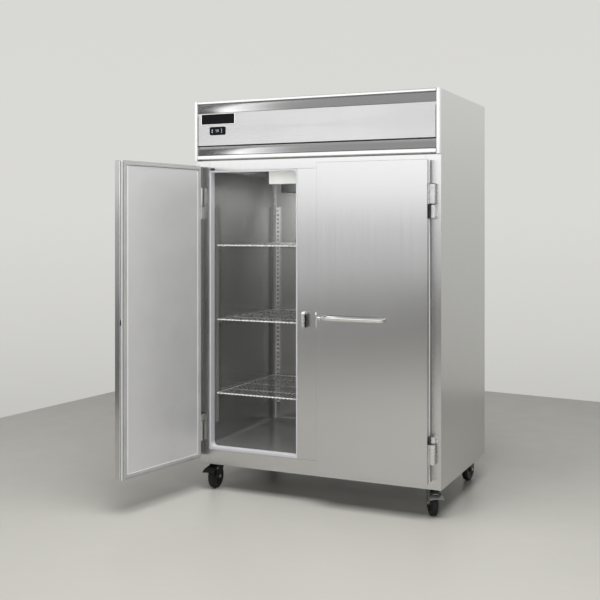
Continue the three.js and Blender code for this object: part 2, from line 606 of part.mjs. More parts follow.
function casterFork(name, brake) {
  const { inner, sheet, crownZ, topZ, headRadius, axle } = FORK;
  const outer = inner + sheet;
  const wheelZ = WHEEL.radius;
  const leg = polygon([
    [26, crownZ + 3], [26, crownZ - 8], [-CASTER_OFFSET + 13, wheelZ - 6], [-CASTER_OFFSET + 7, wheelZ - 13],
    [-CASTER_OFFSET - 7, wheelZ - 13], [-CASTER_OFFSET - 13, wheelZ - 6], [PEDAL.pivotY - 7, PEDAL.pivotZ - 5],
    [PEDAL.pivotY - 7, PEDAL.pivotZ + 6], [-54, crownZ + 3],
  ]);
  const parts = [
    sweepX(leg, [-outer, -inner]),
    sweepX(leg, [inner, outer]),
    box([-outer, outer], [-54, 26], [crownZ, crownZ + 3]),
    cylinder('z', [0, 0], headRadius, [crownZ + 2, topZ], 28),
    cylinder('x', [-CASTER_OFFSET, wheelZ], axle, [-outer - 5, outer + 5], 20),
    cylinder('x', [-CASTER_OFFSET, wheelZ], 9, [-outer - 5, -outer + 1], 6),
    cylinder('x', [-CASTER_OFFSET, wheelZ], 9, [outer - 1, outer + 5], 6),
  ];
  if (brake) {
    const pivot = [PEDAL.pivotY, PEDAL.pivotZ];
    parts.push(cylinder('x', pivot, PEDAL.stub, [-outer - 5, -outer + 1], 16));
    parts.push(cylinder('x', pivot, PEDAL.stub, [outer - 1, outer + 5], 16));
  }
  return mesh(`caster_fork_${name}`, join(parts), ZINC);
}

// The tread stands on a flat of its outline.
function casterWheel(name) {
  const { radius, tread, hub, bore } = WHEEL;
  const rim = radius / Math.cos(Math.PI / WHEEL.segments);
  const half = [
    [bore, hub], [16, hub], [19, hub - 9], [46, hub - 9], [50, tread - 1], [rim - 4, tread], [rim, tread - 5],
  ];
  const mirrored = half.map(([r, w]) => [r, -w]).reverse();
  const profile = [...half, ...mirrored, half[0]].map(([r, w]) => new THREE.Vector2(r, w)).reverse();
  const flatDown = Math.PI / WHEEL.segments;
  const ring = solid(new THREE.LatheGeometry(profile, WHEEL.segments, flatDown).rotateZ(Math.PI / 2));
  const result = mesh(`caster_wheel_${name}`, ring, WHEEL_RUBBER);
  result.position.set(0, -CASTER_OFFSET, WHEEL.radius);
  return result;
}

// The pedal's ears hang on stubs outside the fork, and its shoe faces the tread.
function brakePedal(name) {
  const { pivotY, pivotZ, width, stub, earSheet } = PEDAL;
  const earIn = FORK.inner + FORK.sheet + 1;
  const ear = polygon([
    [pivotY + 8, pivotZ - 7], [pivotY + 9, pivotZ + 7], [pivotY - 2, pivotZ + 11], [pivotY - 30, pivotZ + 1],
    [pivotY - 30, pivotZ - 8], [pivotY - 8, pivotZ - 8],
  ]);
  const tread = polygon([
    [pivotY - 14, pivotZ + 9], [pivotY - 14, pivotZ + 6], [pivotY - 34, pivotZ - 1.5],
    [pivotY - 52, pivotZ - 15], [pivotY - 50, pivotZ - 17.4], [pivotY - 55, pivotZ - 16],
    [pivotY - 36, pivotZ + 1.5],
  ]);
  const shoe = polygon([
    [pivotY - 18, pivotZ + 6], [pivotY - 28, pivotZ + 2], [pivotY - 32, pivotZ - 10], [pivotY - 26, pivotZ - 8],
  ]);
  const ears = [-1, 1].map((side) => sweepX(ear, span(side, earIn, earIn + earSheet)));
  const holes = cylinder('x', [pivotY, pivotZ], stub + GAP, [-width, width], 16);
  const body = join([...ears, sweepX(tread, [-width / 2, width / 2]), sweepX(shoe, [-14, 14])]);
  return mesh(`brake_pedal_${name}`, body.subtract(holes), ZINC);
}

function caster({ name, side, y, heading, brake }) {
  const group = new THREE.Group();
  group.position.set(side * (HALF - CASTER_X), y, 0);
  group.rotation.z = THREE.MathUtils.degToRad(heading);
  group.add(casterFork(name, brake), casterWheel(name));
  if (brake) group.add(brakePedal(name));
  return group;
}

// ---- Assembly -------------------------------------------------------------------------

const refrigerator = new THREE.Group();

for (const [name, side] of SIDES) {
  refrigerator.add(sidePanel(name, side), breakerStrip(name, side), keeper(name, side));
  refrigerator.add(evaporatorFan(name, side));
  SHELF_Z.forEach((_, index) => refrigerator.add(shelf(name, side, index)));
  refrigerator.add(door(name, side, side < 0 ? LEFT_DOOR_OPEN_DEG : 0));
  refrigerator.add(hingeCabinetLeaf(name, side, 'upper'), hingeCabinetLeaf(name, side, 'lower'));
}
refrigerator.add(outerWrap(), basePanel(), insulation(), interiorLiner(), faceFrame());
refrigerator.add(hoodFrame(), servicePanel(), controller());
refrigerator.add(evaporatorHousing(), condenserCoil(), condenserFan(), compressor());
refrigerator.add(...pilasters());
CASTERS.forEach((spec) => refrigerator.add(caster(spec)));

// The origin is on the floor, under the middle of the whole object with its left door open.
const bounds = new THREE.Box3().setFromObject(refrigerator, true);
refrigerator.position.set(-(bounds.min.x + bounds.max.x) / 2, -(bounds.min.y + bounds.max.y) / 2, 0);

export default refrigerator;
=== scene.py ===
import math
import bmesh
import bpy
from mathutils import Matrix, Vector


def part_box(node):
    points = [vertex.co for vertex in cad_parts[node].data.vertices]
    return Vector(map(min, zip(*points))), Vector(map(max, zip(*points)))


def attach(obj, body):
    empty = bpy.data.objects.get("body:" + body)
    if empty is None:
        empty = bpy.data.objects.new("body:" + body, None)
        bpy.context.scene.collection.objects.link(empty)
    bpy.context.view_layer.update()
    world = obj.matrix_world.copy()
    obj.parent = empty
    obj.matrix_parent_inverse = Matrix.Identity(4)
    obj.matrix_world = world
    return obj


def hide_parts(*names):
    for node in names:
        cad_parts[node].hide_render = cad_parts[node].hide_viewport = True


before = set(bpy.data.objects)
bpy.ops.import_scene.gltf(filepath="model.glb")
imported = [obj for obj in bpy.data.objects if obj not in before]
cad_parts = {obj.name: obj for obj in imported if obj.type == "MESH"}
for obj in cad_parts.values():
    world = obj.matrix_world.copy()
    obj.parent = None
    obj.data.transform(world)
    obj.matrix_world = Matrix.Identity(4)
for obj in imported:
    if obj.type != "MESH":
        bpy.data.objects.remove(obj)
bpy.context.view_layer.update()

# ---- Dimensions, mm, in the cabinet's own frame: X = 0 at its centre plane, Y = 0 at the
# front of the face frame, Z = 0 on the floor. ORIGIN carries that frame into the row frame.
_low, _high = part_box("face_frame")
ORIGIN = Vector(((_low.x + _high.x) * 500, _low.y * 1000, 0))
HALF = 683                # half the cabinet's width
HEIGHT = 2089
BASE = 142                # underside of the cabinet
HOOD = 1772               # underside of the hood
DECK = 1810               # top of the deck behind the hood
OPEN_X = (83.5, 606.5)    # the right opening; the left one mirrors it
OPEN_Z = (220, 1719)
DOOR_X = (51.5, 631.5)    # the right door's pan; the left one mirrors it
DOOR_Y = (-63, -10)
DOOR_Z = (178, 1744)
CAM_SLOT = (935, 962)     # in the door's free edge
HINGE = Vector((647.5, -20, 0))
LEFT_OPEN = math.radians(100)
SHELVES = (518, 918, 1321)
FAN_X, FAN_Y = 178, 345   # the right evaporator fan; the left one mirrors it
WHEEL = (0, -35, 63.5)    # a wheel's centre, from the caster's swivel axis
SIDES = (("left", -1), ("right", 1))

# ---- Mesh building
# TURN takes Z to the named axis. ALONG places (a, b) of an outline at t on the axis.
TURN = {"x": Matrix.Rotation(math.pi / 2, 4, "Y"), "y": Matrix.Rotation(-math.pi / 2, 4, "X"),
        "z": Matrix.Identity(4)}
ALONG = {"x": lambda a, b, t: (t, a, b), "y": lambda a, b, t: (a, t, b), "z": lambda a, b, t: (a, b, t)}


def mirror(side):
    return Matrix.Scale(-1, 4, (1, 0, 0)) if side < 0 else Matrix.Identity(4)


def on_door(side):
    """Where a piece drawn on the closed right door goes, for either door at rest."""
    if side > 0:
        return Matrix.Identity(4)
    swing = Matrix.Rotation(LEFT_OPEN, 4, "Z")
    return mirror(-1) @ Matrix.Translation(HINGE) @ swing @ Matrix.Translation(-HINGE)


def around(count):
    """Cosine and sine at even steps round a circle."""
    turns = [2 * math.pi * i / count for i in range(count)]
    return [(math.cos(a), math.sin(a)) for a in turns]


def four(x, y):
    """The corners of a rectangle about zero."""
    return [(i * x, j * y) for i in (-1, 1) for j in (-1, 1)]


def rounded(x, z, radius, steps=6, inset=0):
    """A rectangle with round corners, as (x, z) points. radius is one number, or four: for the
    low right corner and on anticlockwise."""
    (x0, x1), (z0, z1) = (x[0] + inset, x[1] - inset), (z[0] + inset, z[1] - inset)
    radii = radius if isinstance(radius, tuple) else (radius,) * 4
    pts = []
    for k, (r, (cx, cz, sx, sz)) in enumerate(zip(radii, ((x1, z0, -1, 1), (x1, z1, -1, -1),
                                                          (x0, z1, 1, -1), (x0, z0, 1, 1)))):
        for i in range(steps + 1):
            a = math.radians(90 * (k - 1) + 90 * i / steps)
            pts.append((cx + sx * r + r * math.cos(a), cz + sz * r + r * math.sin(a)))
    return pts


def path(*items):
    """A line of points. An item of three is a curve: its control point, its end and its steps."""
    line = []
    for item in items:
        if len(item) == 2:
            line.append(item)
            continue
        start, (control, end, steps) = line[-1], item
        for i in range(1, steps + 1):
            t = i / steps
            u = 1 - t
            line.append(tuple(u * u * a + 2 * u * t * b + t * t * c for a, b, c in zip(start, control, end)))
    return line


def both_ends(profile, length):
    """A lathe's profile and its mirror, for a body of that length."""
    return profile + [(r, length - h) for r, h in profile[::-1]]


def join(part, rows, closed=True):
    """Makes faces between each row of vertices and the next. A row may be a single vertex."""
    n = max(len(row) for row in rows)
    for a, b in zip(rows, rows[1:]):
        for i in range(n if closed else n - 1):
            j = (i + 1) % n
            corners = (a[i % len(a)], a[j % len(a)], b[j % len(b)], b[i % len(b)])
            part.faces.new(tuple(dict.fromkeys(corners)))


def soften(part, edges, width, segments):
    bmesh.ops.bevel(part, geom=edges, offset=width, segments=segments, affect="EDGES", profile=0.5,
                    clamp_overlap=True)


def link(name, data):
    obj = bpy.data.objects.new(name, data)
    bpy.context.scene.collection.objects.link(obj)
    return obj


class Piece:
    """Collects primitives in millimetres and makes one object of them."""

    def __init__(self):
        self.bm = bmesh.new()

    def add(self, part, matrix=None):
        if matrix is not None:
            bmesh.ops.transform(part, matrix=matrix, verts=part.verts)
        me = bpy.data.meshes.new("part")
        part.to_mesh(me)
        part.free()
        self.bm.from_mesh(me)
        bpy.data.meshes.remove(me)
        return self

    def outward(self, part, matrix=None, bevel=0.0, segments=2, angle=0):
        """Adds a part with its faces turned outward, and its edges of an angle or more rounded."""
        bmesh.ops.recalc_face_normals(part, faces=part.faces)
        if bevel:
            edges = [e for e in part.edges if e.calc_face_angle() >= math.radians(angle)]
            soften(part, edges, bevel, segments)
        return self.add(part, matrix)

    def box(self, x, y, z, bevel=0.0, segments=2):
        """A box between two values on each axis, in either order."""
        spans = [sorted(span) for span in (x, y, z)]
        part = bmesh.new()
        bmesh.ops.create_cube(part, size=1)
        bmesh.ops.scale(part, vec=[b - a for a, b in spans], verts=part.verts)
        bmesh.ops.translate(part, vec=[(a + b) / 2 for a, b in spans], verts=part.verts)
        if bevel:
            soften(part, part.edges[:], bevel, segments)
        return self.add(part)

    def lathe(self, profile, at=(0, 0, 0), axis="z", segments=32):
        """profile is (radius, height) pairs, from the bottom up; ends on the axis are closed."""
        part = bmesh.new()
        rings = []
        for r, h in profile:
            points = [(r * c, r * s, h) for c, s in around(segments)] if r else [(0, 0, h)]
            rings.append([part.verts.new(p) for p in points])
        join(part, rings)
        return self.add(part, Matrix.Translation(at) @ TURN[axis])

    def rod(self, axis, at, radius, span, bevel, segments):
        """A cylinder along an axis; at gives the other two coordinates."""
        length, low = span[1] - span[0], 0.3 * bevel
        profile = both_ends([(0, 0), (radius - bevel, 0), (radius - low, low), (radius, bevel)], length)
        return self.lathe(profile, ALONG[axis](*at, span[0]), axis, segments)

    def tube(self, points, radius, segments=10, closed=False, matrix=None):
        """A round wire along points, turned by parallel transport."""
        part = bmesh.new()
        pts = [Vector(p) for p in points]
        rings = []
        normal = None
        for i, p in enumerate(pts):
            before = pts[i - 1] if (i or closed) else p
            after = pts[(i + 1) % len(pts)] if (i < len(pts) - 1 or closed) else p
            d = (after - before).normalized()
            if normal is None:
                helper = Vector((0, 0, 1)) if abs(d.z) < 0.9 else Vector((1, 0, 0))
                normal = d.cross(helper).normalized()
            normal = (normal - d * normal.dot(d)).normalized()
            other = d.cross(normal)
            rings.append([part.verts.new(p + normal * radius * c + other * radius * s)
                          for c, s in around(segments)])
        if closed:
            join(part, rings + rings[:1])
        else:
            join(part, rings)
            part.faces.new(rings[0][::-1])
            part.faces.new(rings[-1])
        return self.outward(part, matrix)

    def prism(self, outline, axis, span, bevel=0.0, segments=2):
        """A closed outline swept straight along an axis. Along x it is drawn in (y, z), along y
        in (x, z) and along z in (x, y)."""
        part = bmesh.new()
        rings = [[part.verts.new(ALONG[axis](a, b, t)) for a, b in outline] for t in sorted(span)]
        join(part, rings)
        part.faces.new(rings[0])
        part.faces.new(rings[1][::-1])
        return self.outward(part, None, bevel, segments)

    def ring(self, outer, inner, y, bevel=0.0):
        """A frame between two closed outlines of equal length, drawn in (x, z), thick along y."""
        part = bmesh.new()
        out_0, out_1, in_0, in_1 = [[part.verts.new((a, t, b)) for a, b in line]
                                    for line in (outer, inner) for t in y]
        for i in range(len(outer)):
            j = (i + 1) % len(outer)
            part.faces.new((out_0[i], out_0[j], in_0[j], in_0[i]))
            part.faces.new((out_1[i], in_1[i], in_1[j], out_1[j]))
            part.faces.new((out_0[i], out_1[i], out_1[j], out_0[j]))
            part.faces.new((in_0[i], in_0[j], in_1[j], in_1[i]))
        return self.outward(part, bevel=bevel, angle=40)

    def mouth(self, centre, half, radii, levels, axis):
        """A flat plate from a rectangle to a round hole, and the hole's lip. levels are the
        plate's and the lip's places on the axis."""
        part = bmesh.new()
        rows = [[], [], []]
        for c, s in around(64):
            edge = min(half[0] / max(abs(c), 1e-6), half[1] / max(abs(s), 1e-6))
            for row, reach, level in zip(rows, (edge, *radii), (levels[0], *levels)):
                row.append(part.verts.new(ALONG[axis](centre[0] + c * reach, centre[1] + s * reach, level)))
        join(part, rows)
        return self.outward(part)

    def done(self, name, material, body="cabinet", matrix=None, slot=None, replaces=None, smooth=34):
        bm = self.bm
        if matrix is not None:
            bmesh.ops.transform(bm, matrix=matrix, verts=bm.verts)
            if matrix.determinant() < 0:
                bmesh.ops.reverse_faces(bm, faces=bm.faces)
        bmesh.ops.translate(bm, vec=ORIGIN, verts=bm.verts)
        bmesh.ops.scale(bm, vec=(0.001, 0.001, 0.001), verts=bm.verts)
        me = bpy.data.meshes.new(name)
        bm.to_mesh(me)
        bm.free()
        me.materials.append(material)
        for poly in me.polygons:
            poly.use_smooth = True
        me.set_sharp_from_angle(angle=math.radians(smooth))
        obj = link(name, me)
        weighted = obj.modifiers.new("weighted", "WEIGHTED_NORMAL")
        weighted.keep_sharp = True
        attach(obj, body)
        if replaces:
            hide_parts(replaces)


# ---- Materials
class Graph:
    """A material's or a world's nodes. Inputs are given as values, or as sockets to link from."""

    def __init__(self, owner):
        owner.use_nodes = True
        self.nodes, self.links = owner.node_tree.nodes, owner.node_tree.links

    def set(self, node, inputs):
        for key, value in inputs.items():
            if isinstance(value, bpy.types.NodeSocket):
                self.links.new(value, node.inputs[key])
            else:
                node.inputs[key].default_value = value

    def new(self, kind, inputs, output=0, **settings):
        node = self.nodes.new("ShaderNode" + kind)
        for key, value in settings.items():
            setattr(node, key, value)
        self.set(node, inputs)
        return node.outputs[output]

    def ramp(self, source, stops):
        r = self.nodes.new("ShaderNodeValToRGB")
        while len(r.color_ramp.elements) < len(stops):
            r.color_ramp.elements.new(0.5)
        for e, (pos, col) in zip(r.color_ramp.elements, stops):
            e.position = pos
            e.color = (*col, 1)
        self.links.new(source, r.inputs["Fac"])
        return r.outputs["Color"]

    def noise(self, scale, detail, rough, stretch=(1, 1, 1)):
        place = self.new("Mapping", {"Scale": stretch, "Vector": self.new("TexCoord", {}, "Object")})
        return self.new("TexNoise", {"Scale": scale, "Detail": detail, "Roughness": rough, "Vector": place},
                        "Fac")

    def to_range(self, source, low, high, a=0.25, b=0.75):
        return self.new("MapRange", {"From Min": a, "From Max": b, "To Min": low, "To Max": high,
                                     "Value": source}, "Result")

    def mix(self, factor, a, b, **settings):
        return self.new("Mix", {"Factor": factor, "A": a, "B": b}, "Result", data_type="RGBA", **settings)

    def bump(self, source, strength, distance):
        return self.new("Bump", {"Strength": strength, "Distance": distance, "Height": source}, "Normal")


def new_material(name):
    m = bpy.data.materials.new(name)
    graph = Graph(m)
    return m, graph, graph.nodes["Principled BSDF"]


def paler(tone, part):
    return [min(1, c * (1 + part)) for c in tone]


def brushed(name, tone, roughness, grain="z", spread=0.05, anisotropy=0.6, cloud=0.03, scratch=0.12,
            metallic=1.0):
    """Brushed sheet: long fine grain along one axis, faint clouds of polish, a little bump."""
    m, g, shader = new_material(name)
    stretch = {"z": (1, 1, 0.006), "x": (0.006, 1, 1)}[grain]
    fine = g.noise(900, 3, 0.6, stretch)
    wide = g.noise(60, 2, 0.5, stretch)
    soft = g.noise(2.2, 3, 0.5)
    streak = g.new("Math", {0: wide, 1: 0.35, 2: fine}, operation="MULTIPLY_ADD")
    colour = g.ramp(g.to_range(streak, 0, 1, 0.4, 0.95),
                    [(0, paler(tone, -spread)), (1, paler(tone, spread))])
    clouds = g.ramp(soft, [(0.3, (1 - cloud,) * 3), (0.7, (1, 1, 1))])
    rough = g.new("Math", {0: g.to_range(streak, -0.03, 0.03, 0.4, 0.95),
                           1: g.to_range(soft, roughness - 0.03, roughness + 0.03)}, operation="ADD")
    tangent = g.new("Tangent", {}, direction_type="RADIAL", axis="Z" if grain == "z" else "Y")
    g.set(shader, {"Base Color": g.mix(1, colour, clouds, blend_type="MULTIPLY"), "Metallic": metallic,
                   "Anisotropic": anisotropy, "Roughness": rough, "Tangent": tangent,
                   "Normal": g.bump(fine, scratch, 0.0002)})
    return m


def bright_metal(name, tone, roughness, wear=0.06, metallic=1.0):
    """Plated or polished metal with slight haze and smears."""
    m, g, shader = new_material(name)
    haze = g.noise(35, 4, 0.6)
    spots = g.noise(240, 2, 0.5)
    g.set(shader, {"Base Color": g.ramp(haze, [(0.35, paler(tone, -wear)), (0.7, tone)]),
                   "Metallic": metallic, "Roughness": g.to_range(haze, roughness * 0.8, roughness * 1.5),
                   "Normal": g.bump(spots, 0.05, 0.0002)})
    return m


def plastic(name, tone, roughness, grain=400, depth=0.12, spread=0.08, specular=0.5, metallic=0.0):
    """Moulded plastic, enamel or rubber with a fine texture."""
    m, g, shader = new_material(name)
    fine = g.noise(grain, 3, 0.6)
    soft = g.noise(9, 3, 0.5)
    g.set(shader, {"Base Color": g.ramp(soft, [(0.3, paler(tone, -spread)), (0.7, paler(tone, spread))]),
                   "Roughness": g.to_range(soft, roughness - 0.05, roughness + 0.05),
                   "Specular IOR Level": specular, "Metallic": metallic,
                   "Normal": g.bump(fine, depth, 0.0003)})
    return m


STEEL = (0.62, 0.62, 0.62)
DOOR_STEEL = brushed("door stainless", STEEL, 0.21, "z", 0.03, 0.9, 0.03, 0.05)
FRAME_STEEL = brushed("frame stainless", STEEL, 0.21, "z", 0.03, 0.9, 0.03, 0.05)
SIDE_STEEL = brushed("side stainless", (0.6, 0.6, 0.585), 0.32, anisotropy=0.8)
HOOD_STEEL = brushed("hood stainless", STEEL, 0.13, "x", 0.03, 0.3, 0.02, 0.03)
PANEL_STEEL = brushed("panel stainless", STEEL, 0.26, "x", anisotropy=0.2)
# painted shade: stainless darker than the outside's, for the shade inside the closed cabinet
SHADED_LINER_STEEL = brushed("liner stainless darkened as shade", (0.38, 0.38, 0.375), 0.24, "z", 0.02, 0.5, 0.03, 0.04, 0.75)
DOOR_INNER = plastic("door inner liner", (0.68, 0.68, 0.685), 0.38, 700, 0.02, 0.02, metallic=0.5)
# pale liner plastic; on the door's rim it is partly a painted highlight
PANEL_EDGE = plastic("liner edge", (0.8, 0.8, 0.8), 0.35, 700, 0.02, 0.03)
BACK_STEEL = brushed("back galvanised", (0.56, 0.58, 0.59), 0.45, cloud=0.12)
# partly painted highlight: steel paler than the liner's, for the bright edges of the rear pilasters
PILASTER_HIGHLIGHT_STEEL = brushed("pilaster steel paled as highlight", (0.8, 0.8, 0.795), 0.2, anisotropy=0.3, metallic=0.72)
CHROME = bright_metal("chrome", (0.86, 0.86, 0.85), 0.09)
WIRE = bright_metal("shelf wire", (0.5, 0.5, 0.49), 0.25, 0.05, 0.7)
WIRE_EDGE = bright_metal("shelf edge wire", (0.88, 0.88, 0.86), 0.25, 0.05, 0.35)
ZINC = bright_metal("zinc plate", (0.62, 0.64, 0.62), 0.3, 0.18)
ALUMINIUM = bright_metal("aluminium", (0.72, 0.73, 0.72), 0.38, 0.1)
COPPER = bright_metal("copper tube", (0.72, 0.36, 0.22), 0.3, 0.3)
HOUSING = plastic("evaporator enamel", (0.9, 0.905, 0.88), 0.4, 700, 0.03, 0.03)
BREAKER = plastic("breaker plastic", (0.47, 0.47, 0.49), 0.4, 500, 0.04, 0.03)
GASKET = plastic("gasket vinyl", (0.34, 0.342, 0.34), 0.5, 600, 0.08)
# painted highlight: plating paler and less metallic than the keeper's, so its round top shows white
CAP_HIGHLIGHT = bright_metal("cap paled as highlight", (0.92, 0.92, 0.91), 0.16, 0.04, 0.4)
SATIN = bright_metal("satin hinge", (0.74, 0.74, 0.735), 0.24, 0.06)
ENAMEL = plastic("black enamel", (0.006, 0.006, 0.007), 0.5, 900, 0.05, 0.15, 0.12)
# painted shade: zinc darkened for the cabinet's underside; the evaporator's fan drums use it too
SHADE_DARK_ZINC = bright_metal("zinc darkened as shade", (0.3, 0.31, 0.31), 0.42, 0.25, 0.8)
TYRE = plastic("wheel rubber", (0.012, 0.012, 0.011), 0.55, 500, 0.2, 0.2, 0.25)
HUB = plastic("wheel hub", (0.02, 0.02, 0.02), 0.4, 500, 0.1, 0.15, 0.25)
BLACK = plastic("black plastic", (0.012, 0.012, 0.013), 0.3, 900, 0.05, 0.15)
BLACK_PAINT = plastic("black paint", (0.014, 0.014, 0.014), 0.35, 160, 0.12, 0.2, 0.3)
# painted shade: a near black stand-in for shadow in gaps, slots and holes
PAINTED_SHADE = plastic("painted shade", (0.01, 0.01, 0.01), 0.7, 300, 0.1, 0.1)
FOAM = plastic("foam edge", (0.62, 0.55, 0.34), 0.9, 260, 0.4, 0.1)
SCREW = bright_metal("screw", (0.6, 0.6, 0.58), 0.25, 0.15)
INSULATOR = plastic("pipe insulation", (0.03, 0.03, 0.032), 0.85, 350, 0.3, 0.15)
WHITE_MARK = plastic("display light", (0.5, 0.56, 0.66), 0.4, 700, 0.02, 0.03)

# the CAD nodes that stay in view
for _node, _material, _slot in (
    ("side_panel_left", SIDE_STEEL, "side_stainless"), ("side_panel_right", SIDE_STEEL, "side_stainless"),
    # the base panel's darkened zinc is painted shade under the cabinet
    ("outer_wrap", BACK_STEEL, "back_steel"), ("base_panel", SHADE_DARK_ZINC, "zinc"),
    ("insulation", FOAM, "foam"), ("interior_liner", SHADED_LINER_STEEL, "liner_steel"),
):
    _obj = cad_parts[_node]
    _obj.data.materials.clear()
    _obj.data.materials.append(_material)
    for _poly in _obj.data.polygons:
        _poly.material_index = 0
        _poly.use_smooth = False


# ---- Face frame
def face_frame():
    p = Piece()
    (x0, x1), (z0, z1), top = OPEN_X, OPEN_Z, HOOD - 0.6
    for x, z in (((-HALF, -x1), (BASE, top)), ((x1, HALF), (BASE, top)), ((-x1 + 0.3, x1 - 0.3), (BASE, z0)),
                 ((-x1 + 0.3, x1 - 0.3), (z1, top)), ((-x0, x0), (z0 + 0.5, z1 - 0.5))):
        p.box(x, (0, 1.5), z, 0.5)
    p.done("face_frame_sheet", FRAME_STEEL, slot="front_stainless", replaces="face_frame")


def breaker(name, side):
    x = (OPEN_X[0] + 0.4, OPEN_X[1] - 0.4)
    z = (OPEN_Z[0] + 0.4, OPEN_Z[1] - 0.4)
    inner = rounded((x[0] + 8, x[1] - 9.6), (z[0] + 15, z[1] - 9.6), (24, 6, 24, 12), 8)
    Piece().ring(rounded(x, z, 3, 8), inner, (-0.2, 40), 1.6).done(
        f"breaker_{name}", BREAKER, "cabinet", mirror(side), "breaker_plastic", f"breaker_strip_{name}")


def corner_dark_oval(name, side):
    """A dark oval where the header meets the hinge stile."""
    Piece().prism(rounded((572, 601), (1719.5, 1732.5), 6.4, 8), "y", (-0.4, 0.6), 0.3).done(
        f"corner_dark_oval_{name}", BLACK, "cabinet", mirror(side), "black_plastic")


# ---- Hood
def hood():
    inner = HALF - 20
    p = Piece()
    top = path((1.2, HEIGHT), (-24.5, HEIGHT), ((-26, HEIGHT), (-26, HEIGHT - 1.5), 3),
               (-26, HEIGHT - 12), ((-26, HEIGHT - 14), (-24, HEIGHT - 14.2), 3),
               (-9, HEIGHT - 15), ((-10, 2050), (-21.5, 2026), 12),
               (-18, 2024.4), (-8, 2024.4), (1.2, 2070))
    p.prism(top, "x", (-inner - 1, inner + 1))
    low = path((1.2, 1851.6), (-10, 1851.6), (-10, 1848), ((-11, 1822), (-20, 1803), 10),
               ((-21.5, 1800), (-25.2, 1799), 4), (-26, 1797.5), (-26, 1780), ((-26, 1776), (-22, 1775.5), 5),
               (-14, HOOD + 0.4), (1.2, HOOD + 0.4))
    p.prism(low, "x", (-inner - 1, inner + 1))
    cheek = path((HALF, 1.4), (HALF, -24.5), ((HALF, -26), (HALF - 1.5, -26), 3),
                 (HALF - 15, -26), ((HALF - 16, -26), (HALF - 16.6, -25.2), 3), (inner, -19), (inner, 1.4))
    for _, s in SIDES:
        p.prism([(s * a, b) for a, b in cheek], "z", (HOOD + 0.2, HEIGHT))
    # painted shade: a black strip under the service panel's lower edge, where the gap lies in shadow
    Piece().box((-inner, inner), (-20.5, -9), (1847.4, 1851.8), 0.3).done("hood_gap_shade", PAINTED_SHADE)
    p.done("hood_shell", HOOD_STEEL, slot="front_stainless", replaces="hood_frame")


def service_panel():
    x, z = HALF - 21.5, (1852.4, 2023.6)
    p = Piece()
    p.ring(rounded((-x, x), z, 0.6, 2), rounded((-585.5, -499.5), (1911.5, 1946.5), 0.6, 2), (-23, -21.8))
    p.box((-x, x), (-22.9, -11), (z[0], z[0] + 1.2), 0.4)
    for s in (-1, 1):
        p.box((s * (x - 1.2), s * x), (-22.9, -11), (z[0], z[1] - 14), 0.4)
    p.done("service_panel_face", PANEL_STEEL, "service_panel", slot="front_stainless",
           replaces="service_panel")
    plate = (-643, -437), (1963, 2021.5)
    Piece().ring(rounded(*plate, 3, 4), rounded(*plate, 2, 4, 3), (-25.6, -23.1), 0.5).done(
        "nameplate_rim", CHROME, "service_panel")
    Piece().box((-641, -439), (-24.8, -23.1), (1965, 2019.5), 0.5).done(
        "nameplate_blank", ENAMEL, "service_panel", slot="black_plastic")


def controller():
    p = Piece()
    x, z = (-590, -495), (1907, 1951)
    p.ring(rounded(x, z, 9), rounded(x, z, 5, inset=5), (-27, -23.2), 0.8)
    p.box((x[0] + 4, x[1] - 4), (-25.8, 6), (z[0] + 5, z[1] - 5), 0.8)
    p.done("controller_case", ENAMEL, "service_panel", slot="black_plastic", replaces="controller")
    d = Piece()
    # two seven-segment digits; w and h are half of one's width and height, and t a bar's thickness
    w, h, t = 3.25, 6.5, 0.9
    bars = {"a": (-w, w, h - t, h), "g": (-w, w, -t / 2, t / 2), "d": (-w, w, -h, -h + t),
            "f": (-w - t, -w, 0, h), "b": (w, w + t, 0, h), "e": (-w - t, -w, -h, 0), "c": (w, w + t, -h, 0)}
    for cx, cz, lit in ((-549, 1930, "acdfg"), (-538, 1930, "abcdefg")):
        for k in lit:
            x0, x1, z0, z1 = bars[k]
            d.box((cx + x0, cx + x1), (-26.1, -25.7), (cz + z0, cz + z1))
    for k in range(3):
        d.rod("y", (-517, 1921 + 8.5 * k), 2.2, (-26.4, -25.7), 0.2, 16)
    for z in (1934, 1923):
        d.rod("y", (-574, z), 3.4, (-26.4, -25.7), 0.2, 20)
    d.done("controller_marks", WHITE_MARK, "service_panel")


face_frame()
for _name, _side in SIDES:
    breaker(_name, _side)
    corner_dark_oval(_name, _side)
hood()
service_panel()
controller()


# ---- Doors, drawn as the closed right one
def door_line(inset, radius, steps):
    return rounded(DOOR_X, DOOR_Z, radius, steps, inset)


